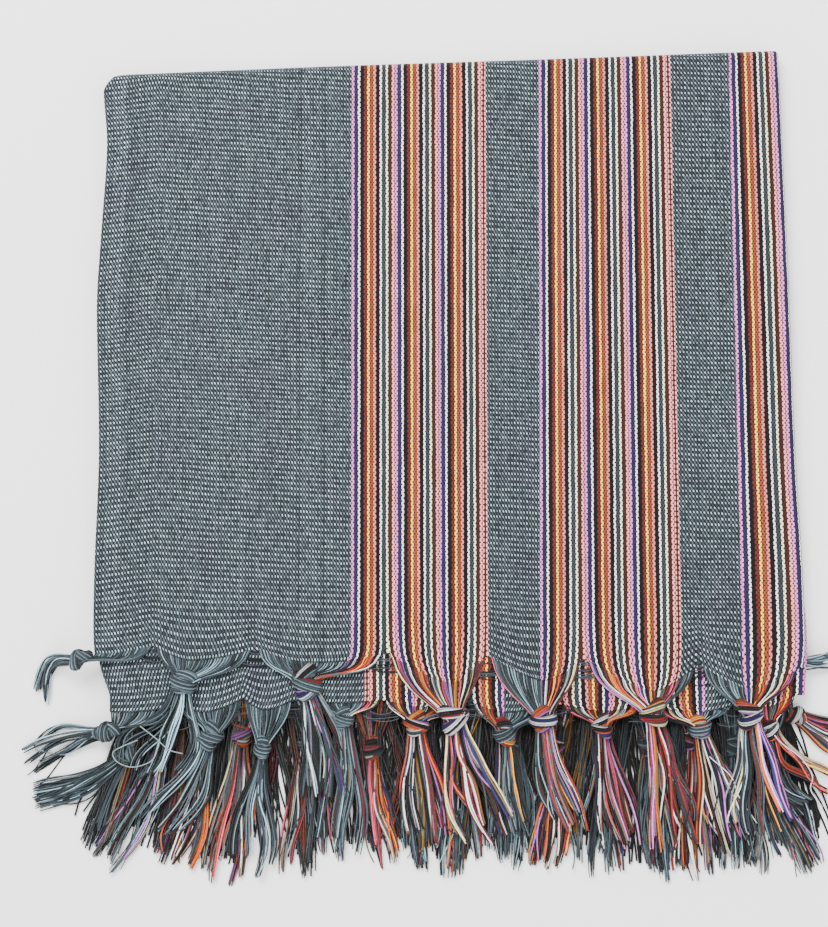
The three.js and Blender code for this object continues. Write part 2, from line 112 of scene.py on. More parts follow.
# The hems: (x, y, depth of the lobe up to the next row, how far its ends draw together).
FRONT_HEM = ((-175.8, -146.2, 1.2, 0.03), (-146.3, -142.2, 6, 0.2), (-96.4, -144.2, 5, 0.2),
             (-31.3, -146.6, 13, 0.42), (18.5, -147.6, 10, 0.36), (66.3, -149.6, 13, 0.42),
             (123.5, -152, 11, 0.36), (174.7, -152.5, 0, 0))
SECOND_HEM = ((-171, -174.1, 1, 0.05), (-133.9, -172.2, 4, 0.2), (-101.8, -167.8, 5, 0.2),
              (-77.2, -168.8, 1.5, 0.1), (-32.8, -168.3, 3, 0.25), (10.1, -169.2, 5, 0.3),
              (54.5, -170.2, 3, 0.25), (96.4, -171.2, 3, 0.25), (140.8, -171.2, 3, 0.25),
              (172, -166, 0, 0))
# The tassels. x and y place the knot and wide and high are its size, tip_x and tip_y the middle
# of the tail's end, spread how wide that end is, bow its sideways curve. wrap says with which of
# its yarns, from left to right, its knot starts. The lying ones come down to the floor beside
# the block.
TASSEL_COLUMNS = ("x", "y", "wide", "high", "tip_x", "tip_y", "spread", "bow", "wrap", "lying")
FRONT_TASSELS = (
    (-182.3, -147.5, 8.5, 9, -206, -168, 8, -7, None, True),
    (-130.7, -159.3, 13, 9, -149, -209, 44, 2, 0.3),
    (-70.6, -159.5, 14, 12.5, -58.5, -222, 26, 2, 0.64),
    (2.1, -176.4, 15, 11, 23, -239, 34, -3, 0.36),
    (45.9, -177.4, 12.5, 9, 62, -238, 18, -2, 0.57),
    (99.9, -174.5, 13.5, 10, 111, -244, 28, 1, 0.28),
    (147.6, -174.5, 13.5, 11, 158, -239, 32, -1, 0.42),
)
SECOND_TASSELS = (
    (-169.5, -184, 9, 10, -212, -199, 18, 3, None, True),
    (-118.1, -185.9, 11.5, 10, -148, -240, 22, 3),
    (-92.4, -191.8, 7.5, 9, -99, -257, 24, 0),
    (-52.5, -177, 10, 8, -54, -248, 24, 1),
    (-16.5, -179.5, 12, 9, -9, -243, 24, -1),
    (27.4, -184, 11, 11, 35, -240, 16, -1),
    (75.2, -180.5, 9.5, 10, 87, -246, 22, -1),
    (123.6, -181.5, 11, 9, 139, -246, 30, 0),
    (158.1, -181.5, 10, 9, 187, -224, 30, -4),
)
INNER_TASSELS = (
    (-160, -196, 9, 9, -211, -221, 13, 3, None, True),
    (-141, -186, 9, 9, -172, -253, 22, 2),
    (-122, -191, 9, 9, -139, -254, 24, 2),
    (-103, -185, 10, 9, -112, -262, 26, 1),
    (-71, -188, 10, 9, -68, -258, 30, 0),
    (-38, -192, 10, 9, -31, -252, 18, -2),
    (-15, -187, 10, 9, -14, -256, 20, 0),
    (7, -190, 10, 9, 4, -259, 20, 0),
    (30, -187, 10, 9, 31, -253, 26, 0),
    (53, -190, 10, 9, 47, -253, 18, 1),
    (76, -187, 10, 9, 74, -257, 26, 0),
    (99, -190, 10, 9, 105, -262, 20, 0),
    (121, -187, 10, 9, 122, -259, 22, 0),
    (142, -191, 10, 9, 146, -258, 24, 0),
    (160, -193, 9, 9, 178, -254, 26, -2),
    (171.5, -176, 9, 9, 217, -190, 22, -3, None, True),
)
INNER_HEM_Y, INNER_HEM_Z = -166.0, 8.5
INNER_GATHER = 11.0
# For each kind of tassel: the knot's middle height and thickness, the height of the middle of its
# tail near the knot and at the tip, where it leaves the hem, and how much painted shade darkens its
# yarns: in all, above the knot, and how soon below it they come out of the painted shade.
LEVEL_COLUMNS = ("knot_z", "thick", "near", "far", "hem_z", "shade", "gather", "emerge")
FRONT_LEVEL, SECOND_LEVEL, INNER_LEVEL = (dict(zip(LEVEL_COLUMNS, row)) for row in (
    (14.6, 6.4, 12.6, 6.6, 12.2, 1.0, 1.0, 7.0),
    (8.6, 5.6, 7.6, 4.4, 10.2, 0.9, 0.9, 4.0),
    (3.2, 4.8, 3.4, 1.9, INNER_HEM_Z, 0.8, 0.45, 1.5),
))
# The ends of the inner hem, and how far sideways the deepest yarns reach.
HEM_LEFT, HEM_RIGHT = -163, 168
LEFT_TIPS, RIGHT_TIPS = -180, 188


# ---- settings ----
class StoleStageSettings(bpy.types.PropertyGroup):
    """Camera, floor and light."""

    tilt: bpy.props.FloatProperty(
        name="Tilt", description="How far the camera leans from straight down",
        default=math.radians(5), subtype="ANGLE",
    )
    distance: bpy.props.FloatProperty(
        name="Distance", description="From the camera to the middle of the view",
        default=0.9, unit="LENGTH",
    )
    view_height: bpy.props.FloatProperty(
        name="View height", description="What the view shows from top to bottom at the stole",
        default=0.4635, unit="LENGTH",
    )
    target: bpy.props.FloatVectorProperty(
        name="Target", description="The middle of the view",
        default=(-17.5 * MM, -51 * MM, 10 * MM), subtype="TRANSLATION",
    )
    floor_colour: bpy.props.FloatVectorProperty(
        name="Floor", description="The floor's colour",
        default=(0.96, 0.96, 0.96), subtype="COLOR",
    )


class StoleClothSettings(bpy.types.PropertyGroup):
    """The woven cloth."""

    pick: bpy.props.FloatProperty(
        name="Pick", description="Distance from one weft pick to the next",
        default=1.32 * MM, unit="LENGTH",
    )
    light_slate: bpy.props.FloatVectorProperty(
        name="Light slate", description="Every other end of the plain bands",
        default=(0.63, 0.71, 0.735), subtype="COLOR_GAMMA",
    )
    dark_slate: bpy.props.FloatVectorProperty(
        name="Dark slate", description="The ends between them",
        default=(0.25, 0.285, 0.30), subtype="COLOR_GAMMA",
    )
    weft: bpy.props.FloatVectorProperty(
        name="Weft", description="The weft yarn",
        default=(0.095, 0.105, 0.12), subtype="COLOR_GAMMA",
    )


class StoleFringeSettings(bpy.types.PropertyGroup):
    """The knotted tassels."""

    yarn: bpy.props.FloatProperty(
        name="Yarn", description="Thickness of one freed yarn", default=0.8 * MM, unit="LENGTH",
    )
    inner_yarns: bpy.props.IntProperty(
        name="Inner yarns", description="Yarns in each tassel of the leaves below",
        default=62, min=8,
    )
    deep_yarns: bpy.props.IntProperty(
        name="Deep yarns", description="Yarns that hang between two tassels of the leaves below",
        default=150, min=0,
    )
    seed: bpy.props.IntProperty(name="Seed", description="Changes how the yarns lie", default=7)


# ---- curves and meshes ----
def smooth_line(points, samples=80):
    """A table of points as a dense smooth line through them."""
    p = np.array(points, float)
    p = np.vstack([2 * p[0] - p[1], p, 2 * p[-1] - p[-2]])
    line = []
    for a, b, c, d in zip(p[:-3], p[1:-2], p[2:-1], p[3:]):
        for t in np.linspace(0, 1, samples // (len(p) - 3) + 1)[:-1]:
            bend = t * (c - a) + t * t * (2 * a - 5 * b + 4 * c - d)
            bend += t**3 * (3 * b - a - 3 * c + d)
            line.append(b + bend / 2)
    return np.array(line + [p[-2]])


def read_line(table, given):
    """Reads a smooth line at one coordinate, 0 for x or 1 for y, and gives the other."""
    line = smooth_line(table)
    return lambda value: np.interp(value, line[:, given], line[:, 1 - given])


selvedge_x, long_fold_x = read_line(SELVEDGE, given=1), read_line(LONG_FOLD, given=1)
top_fold_y = read_line(TOP_FOLD, given=0)


def mix(a, b, share):
    return a + (b - a) * share


def smoothstep(value):
    value = np.clip(value, 0, 1)
    return value * value * (3 - 2 * value)


def waves(x, y, seed, count=6, longest=90.0):
    """A smooth random surface from a few crossing waves, about -1 to 1."""
    rng = np.random.default_rng(seed)
    total = np.zeros(np.broadcast(x, y).shape)
    for _ in range(count):
        angle, size = rng.uniform(0, 2 * math.pi), longest * rng.uniform(0.45, 1)
        phase = rng.uniform(0, 2 * math.pi)
        total += np.sin(2 * math.pi * (x * math.cos(angle) + y * math.sin(angle)) / size + phase)
    return total / math.sqrt(2 * count)


def add_object(name, data, place=(0, 0, 0), turn=(0, 0, 0)):
    made = bpy.data.objects.new(name, data)
    made.location, made.rotation_euler = place, turn
    bpy.context.collection.objects.link(made)
    return made


def mesh_object(name, vertices, faces):
    """An object from an array of points and a list of face arrays, each with one corner count."""
    mesh = bpy.data.meshes.new(name)
    mesh.vertices.add(len(vertices))
    mesh.vertices.foreach_set("co", (np.asarray(vertices, np.float32) * MM).ravel())
    loops = np.concatenate([f.ravel() for f in faces]).astype(np.int32)
    totals = np.concatenate([np.full(len(f), f.shape[1], np.int32) for f in faces])
    starts = np.concatenate([[0], np.cumsum(totals)[:-1]]).astype(np.int32)
    mesh.loops.add(len(loops))
    mesh.loops.foreach_set("vertex_index", loops)
    mesh.polygons.add(len(totals))
    mesh.polygons.foreach_set("loop_start", starts)
    mesh.update(calc_edges=True)
    mesh.validate()
    mesh.polygons.foreach_set("use_smooth", np.full(len(mesh.polygons), True))
    return add_object(name, mesh)


def grid_faces(rows, columns, closed=False):
    """Quads of a grid of rows of points, whose columns may close on themselves."""
    index = np.arange(rows * columns).reshape(rows, columns)
    if closed:
        index = np.hstack([index, index[:, :1]])
    return np.stack(
        [index[:-1, :-1], index[:-1, 1:], index[1:, 1:], index[1:, :-1]], axis=-1
    ).reshape(-1, 4)


def set_weave_map(piece, uv):
    """Stores each point's warp end and weft pick, for the weave."""
    layer = piece.data.uv_layers.new(name="weave")
    corner = np.zeros(len(piece.data.loops), np.int32)
    piece.data.loops.foreach_get("vertex_index", corner)
    layer.data.foreach_set("uv", np.asarray(uv, np.float32)[corner].ravel())


def tubes(paths, radii, reference, sides):
    """Points and faces of closed tubes along paths, an array of yarns by points by 3."""
    count, steps = paths.shape[:2]
    along = np.gradient(paths, axis=1)
    along /= np.linalg.norm(along, axis=2, keepdims=True) + 1e-9
    across = np.cross(along, np.broadcast_to(reference, along.shape))
    across /= np.linalg.norm(across, axis=2, keepdims=True) + 1e-9
    up = np.cross(across, along)
    angles = 2 * math.pi * np.arange(sides) / sides
    ring = across[:, :, None] * np.cos(angles)[:, None] + up[:, :, None] * np.sin(angles)[:, None]
    points = paths[:, :, None] + ring * radii[:, :, None, None]
    one = grid_faces(steps, sides, closed=True)
    first = np.arange(sides)[::-1][None]
    last = (steps - 1) * sides + np.arange(sides)[None]
    offsets = (np.arange(count) * steps * sides)[:, None, None]
    walls = (one[None] + offsets).reshape(-1, 4)[:, ::-1]
    caps = (np.stack([first[:, ::-1], last[:, ::-1]], axis=1) + offsets).reshape(-1, sides)
    return points.reshape(-1, 3), [walls, caps]


def yarn_piece(name, parts):
    """One piece from (points, faces, colours) parts."""
    points, faces, colours, offset = [], [], [], 0
    for part_points, part_faces, part_colours in parts:
        points.append(part_points)
        faces += [f + offset for f in part_faces]
        colours.append(part_colours)
        offset += len(part_points)
    piece = mesh_object(name, np.vstack(points), faces)
    # the stored colours hold the yarns' painted shade and painted highlights
    layer = piece.data.color_attributes.new("yarn_colour_and_shade", "FLOAT_COLOR", "POINT")
    colours = np.hstack([np.vstack(colours), np.ones((offset, 1))])
    layer.data.foreach_set("color", colours.astype(np.float32).ravel())
    return piece


# ---- colours of the yarns ----
def linear(colour):
    c = np.asarray(colour, float)
    return np.where(c <= 0.04045, c / 12.92, ((c + 0.055) / 1.055) ** 2.4)


STRIPE_OF_END = np.concatenate([np.full(ends, i) for i, (_, ends, _) in enumerate(STRIPES)])
FREED_COLOURS = np.array([linear(FREED.get(name, colour)) for name, _, colour in STRIPES])


def end_colours(ends):
    """The linear colour of each freed warp end, given by its number, and which are plain."""
    ends = np.clip(np.round(ends).astype(int), 0, ENDS - 1)
    colours = linear(FREED_PLAIN)[ends % 2]
    plain = np.ones(len(ends), bool)
    for start in GROUP_STARTS:
        inside = (ends >= start) & (ends < start + GROUP_ENDS)
        local = ends[inside] - start
        stripe = STRIPE_OF_END[local % REPEAT_ENDS]
        closing = local >= REPEATS * REPEAT_ENDS
        stripe[closing] = len(STRIPES) - 1 - local[closing] % 2
        colours[inside] = FREED_COLOURS[stripe]
        plain[inside] = False
    return colours, plain


# ---- where the cloth lies ----
def band_x(end, y):
    """The place across the front leaf of a warp end, where the leaf lies flat."""
    high = (y - BAND_LOW) / (BAND_HIGH - BAND_LOW)
    ends = [0] + [b[0] for b in BANDS] + [EDGE_END]
    columns = [selvedge_x(y)]
    columns += [mix(low_x, high_x, high) for _, high_x, low_x in BANDS]
    columns.append(long_fold_x(y) + 1)
    x = np.zeros_like(y)
    for i in range(len(ends) - 1):
        share = (end - ends[i]) / (ends[i + 1] - ends[i])
        here = (share >= 0) & ((share < 1) | (i == len(ends) - 2))
        x = np.where(here, mix(columns[i], columns[i + 1], share), x)
    return x


def hem_at(hem, x):
    """The hem's line between its parting points, the lobe's depth, pull, middle and share."""
    table = np.array(hem)
    i = np.clip(np.searchsorted(table[:, 0], x, side="right") - 1, 0, len(table) - 2)
    a, b = table[i], table[i + 1]
    share = np.clip((x - a[..., 0]) / (b[..., 0] - a[..., 0]), 0, 1)
    return mix(a[..., 1], b[..., 1], share), a[..., 2], a[..., 3], share, i


# How a leaf hangs at its hem: how far up its lobes reach, how fast their ends draw together
# and between which shares of its width a lobe may have its lowest place.
LOBE_REACH, GATHER_RATE = 15.0, 2.1
LEFTMOST, RIGHTMOST = 0.35, 0.65


def hang(hem, knots, x, s):
    """How the ends of a leaf draw together and sag into lobes above their knots."""
    line, depth, pull, share, i = hem_at(hem, x)
    table = np.array(hem)
    knot_x = np.array([k[0] for k in knots])[np.clip(i, 0, len(knots) - 1)]
    apex = (knot_x - table[i, 0]) / (table[i + 1, 0] - table[i, 0])
    apex = np.clip(apex, LEFTMOST, RIGHTMOST)
    lobe = np.sin(math.pi / 2 * np.where(share < apex, share / apex, (1 - share) / (1 - apex)))
    y = line + s - depth * lobe * np.exp(-((s / LOBE_REACH) ** 2))
    below = (line - y) / np.maximum(depth, 2.5)
    inward = pull * np.exp(GATHER_RATE * (below - 1))
    return mix(x, knot_x, inward), y, pull, lobe


def leaf_points(hem, knots, ends, along, x_of, lay):
    """The points of a leaf for its ends and the distance along them from its hem."""
    end, s = np.meshgrid(ends, along)
    y = hem[0][1] + s
    for _ in range(3):
        flat = x_of(end, y)
        y = hem_at(hem, flat)[0] + s
    x, y, pull, lobe = hang(hem, knots, flat, s)
    pucker = np.sin(end * 0.83 + 2 * np.sin(end * 0.11)) * np.exp(-s / 6.0) * pull
    z = 0.5 * pucker - 0.5 * np.exp(-((s / 9.0) ** 2)) * (1 - lobe)
    return np.stack(lay(x, y, np.minimum(z, 0.3)), axis=-1)


def roll(value, edge, radius, drop):
    """Bends what reaches past edge - radius down over a quarter of an ellipse, then straight."""
    quarter = math.pi / 2 * math.sqrt((radius**2 + drop**2) / 2)
    share = np.maximum((value - (edge - radius)) / quarter, 0)
    angle = np.minimum(share, 1) * math.pi / 2
    bent = edge - radius + radius * np.sin(angle)
    fall = drop * (1 - np.cos(angle)) + quarter * np.maximum(share - 1, 0)
    return np.where(angle > 0, bent, value), fall


def spaced(*stretches):
    """Distances in stretches of (up to, step)."""
    at, values = 0.0, [0.0]
    for up_to, step in stretches:
        count = max(1, round((up_to - at) / step))
        values += list(np.linspace(at, up_to, count + 1)[1:])
        at = up_to
    return np.array(values)


# How far apart the picks lie along the leaf: (distance from the hem, share of the usual pick).
PICK_SPREAD = ((0, 1.08), (60, 1.08), (125, 0.91), (217, 1.0))


def picks_at(along, cloth):
    """The number of picks up to a distance from the hem."""
    fine = np.linspace(0, along[-1], 400)
    steps = np.diff(fine) / np.interp(fine[1:], *np.transpose(PICK_SPREAD))
    return np.interp(along, fine, np.concatenate([[0], np.cumsum(steps)])) * MM / cloth.pick


def leaf_piece(name, points, ends, picks):
    """A leaf of cloth from its grid of points, open where its ends part at the hem."""
    rows, columns = points.shape[:2]
    uv = np.stack(np.broadcast_arrays(ends, picks), axis=-1).reshape(-1, 2)
    width = np.linalg.norm(np.diff(points, axis=1), axis=2)
    length = np.linalg.norm(np.diff(points, axis=0), axis=2)
    closed = np.maximum(width[:-1], width[1:]) < OPENING
    closed &= np.minimum(width[:-1], width[1:]) > 0.02
    closed &= np.minimum(length[:, :-1], length[:, 1:]) > 0.02
    used, faces = np.unique(grid_faces(rows, columns)[closed.ravel()], return_inverse=True)
    piece = mesh_object(name, points.reshape(-1, 3)[used], [faces.reshape(-1, 4)])
    set_weave_map(piece, uv[used])
    thick = piece.modifiers.new("cloth_wall", "SOLIDIFY")
    thick.thickness = LEAF_WALL * MM
    thick.offset = -1
    return piece


# How much later the picks come towards the fold, and from how far above the hem.
PICK_SLANT, SLANT_FROM = 0.014, 70
LOWEST_EDGE = 4.4


def front_leaf(cloth):
    ends = np.arange(0, EDGE_END + 5, 2.0)
    along = spaced((30, 1.0), (292, 3.2), (322, 0.8))

    def lay(x, y, z):
        top = top_fold_y(x)
        soft = 0.35 * waves(x, y, 3) * smoothstep((top - y) / 30)
        soft *= smoothstep((176 - np.abs(x)) / 14)
        edge = long_fold_x(y)
        flat_x = x
        y, fall_y = roll(y, top, TOP_ROLL, TOP_DROP)
        x, fall_x = roll(flat_x, edge, SIDE_ROLL, SIDE_DROP)
        curl = 0.5 * smoothstep(1 - (flat_x - selvedge_x(y)) / 3)
        z = STACK_HEIGHT - 0.4 + z + soft - curl - fall_y - fall_x
        return x, y, np.maximum(z, LOWEST_EDGE)

    points = leaf_points(FRONT_HEM, FRONT_TASSELS, ends, along, band_x, lay)
    slant = PICK_SLANT * ends * smoothstep(along / SLANT_FROM)[:, None]
    return leaf_piece("front_leaf_cloth", points, ends, picks_at(along, cloth)[:, None] + slant)


def second_x(end, y):
    """Where an end of the second leaf lies, folded back under the first."""
    x = band_x(ENDS - end, y)
    tucked = 13 - 2.8 * smoothstep((-90 - y) / 50)
    return (x + 6 - 4.3 * smoothstep((-x - 110) / 60) + 4 * smoothstep((x + 60) / 200)
            - tucked * smoothstep((x - 120) / 56))


SECOND_FIRST_PICK = 60


def second_leaf(cloth):
    ends = np.arange(ENDS, ENDS - EDGE_END - 1, -2.0)
    along = spaced((24, 1.0), (60, 3.0), (318, 12.0))

    def lay(x, y, z):
        y = np.minimum(y, top_fold_y(x) - 6)
        return x, y, SECOND_TOP - 0.3 + z

    points = leaf_points(SECOND_HEM, SECOND_TASSELS, ends, along, second_x, lay)
    picks = picks_at(along, cloth)[:, None] + SECOND_FIRST_PICK
    return leaf_piece("second_leaf_cloth", points, ends, picks)


# ---- the hidden layers ----
# From the underside up, two layers to a row: (left, top, right, end), how far they stay inside
# the front leaf's outline, and where they end.
LIPS = ((2.6, 1.4, 1.2, -147.5), (1.2, 0.6, 2.2, -150.5), (3.6, 2.8, 0.9, -148),
        (1.8, 2.6, 2.4, -151), (4.2, 4, 1.5, -166))
INNER_TOP = 9.4
SIDE_POINTS = 60
# Heights of a lip's rings of points, as shares of its own height.
RINGS = (0.02, 0.12, 0.3, 0.5, 0.7, 0.88, 0.98)
# Which warp end lies where across the hidden layers: (x, end).
INNER_PLACES = ((-175, 0), (-50, 165), (18, 252), (46, 287), (114, 374), (142, 408), (176, 442))


def lip_loop(lip, wander):
    """The outline of one lip, as points and the way inward, clockwise from the hem's left end."""
    left, top, right, end = lip
    bottom = end + 2
    ys = np.linspace(bottom, 143, SIDE_POINTS)
    left_side = np.stack([selvedge_x(ys) + left, ys], axis=1)
    xs = np.linspace(-170 + left, 163 - right, SIDE_POINTS)
    top_side = np.stack([xs, top_fold_y(xs) - top], axis=1)
    ys = np.linspace(152.5 - top, bottom, SIDE_POINTS)
    right_side = np.stack([long_fold_x(ys) - right, ys], axis=1)
    xs = np.linspace(right_side[-1, 0] - 2, left_side[0, 0] + 2, SIDE_POINTS)
    end_side = np.stack([xs, np.full(SIDE_POINTS, end)], axis=1)
    loop = np.vstack([left_side, top_side, right_side, end_side])
    way = np.roll(loop, -1, axis=0) - np.roll(loop, 1, axis=0)
    way /= np.linalg.norm(way, axis=1, keepdims=True)
    inward = np.stack([way[:, 1], -way[:, 0]], axis=1)
    shift = 0.5 * waves(loop[:, 0], loop[:, 1], wander, longest=60)
    return loop + inward * shift[:, None], inward


def inner_layers(cloth):
    height = INNER_TOP / len(LIPS)
    rings, uv = [], []
    for i, lip in enumerate(LIPS):
        loop, inward = lip_loop(lip, 20 + i)
        is_selvedge = (np.arange(len(loop)) < SIDE_POINTS)[:, None]
        for share in RINGS:
            fold = 0.9 * abs(2 * share - 1) ** 2.5
            edges = 0.7 * (1 - abs(math.sin(2 * math.pi * share))) ** 2
            inset = np.where(is_selvedge, edges, fold)
            if i == 0 and share < 0.05:
                share = 0
            ring = loop + inward * inset
            z = (i + share) * height
            rings.append(np.hstack([ring, np.full((len(ring), 1), z)]))
            end = np.interp(ring[:, 0], *np.transpose(INNER_PLACES))
            pick = (ring[:, 1] + 150 + z) * MM / cloth.pick
            uv.append(np.stack([end + 1.2 * z, pick], axis=1))
    count = len(rings[0])
    points = np.vstack(rings)
    bottom = np.arange(count)[None]
    top = (len(rings) - 1) * count + np.arange(count)[None, ::-1]
    walls = grid_faces(len(rings), count, closed=True)[:, ::-1]
    piece = mesh_object("inner_layers_cloth", points, [walls, bottom, top])
    set_weave_map(piece, np.vstack(uv))
    return piece


# ---- tassels ----
UP = np.array([0, 0, 1.0])
# Points along a yarn that is gathered, in a tail, deep, in a knot's loop and loose.
GATHER_STEPS, TAIL_STEPS, DEEP_STEPS, LOOP_STEPS, LOOSE_STEPS = 9, 20, 12, 21, 24
# A yarn draws its tone from those of its kind. For gathered, plain and striped yarns it is partly
# the yarn's own difference and partly painted shade between yarns and painted highlights on them.
GATHER_SHADE_TONES, PLAIN_SHADE_TONES, STRIPED_SHADE_TONES = (0.16, 0.6, 1.5), (0.14, 0.65, 2.25), (0.22, 1.3, 1.9)
PICK_TONES, BUNDLE_TONES = (0.4, 1.2, 5.0), (0.3, 0.8, 1.3)
# How far the yarns' sides and their middles stay above the ground.
CLEARANCE, REST = 0.1, 0.15
# Yarns in each lock of a tail, and how many locks a tail may have.
LOCK_YARNS, FEWEST_LOCKS, MOST_LOCKS = 7.5, 3, 14
DEEP_LOCK_YARNS = 9


def bezier(p0, p1, p2, p3, steps):
    """Cubic curves through arrays of control points."""
    t = np.linspace(0, 1, steps)[None, :, None]
    p0, p1, p2, p3 = (p[:, None] for p in (p0, p1, p2, p3))
    return (1 - t) ** 3 * p0 + 3 * t * (1 - t) ** 2 * p1 + 3 * t * t * (1 - t) * p2 + t**3 * p3


def keep_above(points, height):
    """Lifts the points that lie lower than a height."""
    points[..., 2] = np.maximum(points[..., 2], height)


def half_yarn(fringe):
    """The radius of a freed yarn in millimetres."""
    return fringe.yarn / MM / 2


def yarn_tubes(paths, radii, colours, shade, sides, up=UP):
    """Tubes with a colour for each yarn, multiplied by the given shade and by painted shade on its
    lower flanks.
    """
    points, faces = tubes(paths, radii, up, sides)
    angles = 2 * math.pi * np.arange(sides) / sides + (math.pi / 6 if sides == 3 else 0)
    # painted shade: each tube is lighter on top and darker on its lower flanks
    flank_shade = 0.5 + 0.5 * np.sin(angles)
    tone = colours[:, None, None] * shade[..., None, None] * flank_shade[:, None]
    keep_above(points, CLEARANCE)
    return points, faces, tone.reshape(-1, 3).clip(0, 0.95)


class Tassel:
    """One row of a tassel table with its directions, levels and yarns."""

    def __init__(self, row, level, ends, seed):
        self.wrap, self.lying = None, False
        for name, value in zip(TASSEL_COLUMNS, row):
            setattr(self, name, value)
        self.level = level
        self.rng = np.random.default_rng(seed)
        colours, self.plain = end_colours(ends)
        self.ends, self.colours = ends, varied(colours, self.rng)
        self.count = len(ends)
        self.knot = np.array([self.x, self.y, level["knot_z"]])
        way = np.array([self.tip_x - self.x, self.tip_y - self.y, 0.0])
        self.length = np.linalg.norm(way)
        self.way = way / self.length
        self.across = np.array([-self.way[1], self.way[0], 0])
        if self.across @ (1, 0.4, 0) < 0:
            self.across = -self.across

    def place(self, along, sideways, upward):
        """Points from distances along the tail, across it and up from the knot's middle."""
        return (self.knot + self.way * along[..., None] + self.across * sideways[..., None]
                + UP * upward[..., None])


def gathered_yarns(tassel, starts, radius, sides):
    """The yarns from the hem into the knot."""
    rng, count, level = tassel.rng, tassel.count, tassel.level
    rank = np.linspace(-0.5, 0.5, count)
    lift = rng.uniform(-0.32, 0.3, count) * level["thick"]
    sunk = rng.uniform(-0.1, 0.25, count) * tassel.high
    inside = tassel.place(sunk, rank * tassel.wide * 0.6, lift)
    reach = np.linalg.norm(inside - starts, axis=1, keepdims=True)
    out = starts + (np.array([0, -1.0, 0]) * 0.34 + (inside - starts) / reach * 0.12) * reach
    out += rng.normal(0, (0.45, 0.3, 0.5), (count, 3))
    into = tassel.place(np.full(count, -0.42 * tassel.high), rank * tassel.wide * 0.5, lift)
    into = into * 0.85 + starts * 0.15
    into[:, 2] = inside[:, 2] + rng.uniform(-0.2, 0.6, count)
    into += rng.normal(0, (0.35, 0.2, 0.2), (count, 3))
    paths = bezier(starts, out, into, inside, GATHER_STEPS)
    # painted shade darkens the gathered yarns of lower leaves, and their tones add painted shade
    # and painted highlights beside each yarn's own difference; all are a little darker towards the
    # hem
    tone = rng.choice(GATHER_SHADE_TONES, count) * rng.uniform(0.85, 1.1, count)
    shade = level["shade"] * level["gather"] * tone[:, None] * np.linspace(0.75, 1, GATHER_STEPS)
    return yarn_tubes(paths, np.full(shade.shape, radius), tassel.colours, shade, sides)


def drawn_by_lock(rng, lock, locks):
    """Draws a value for each lock, which all its yarns take."""
    return lambda low, high: rng.uniform(low, high, locks)[lock]


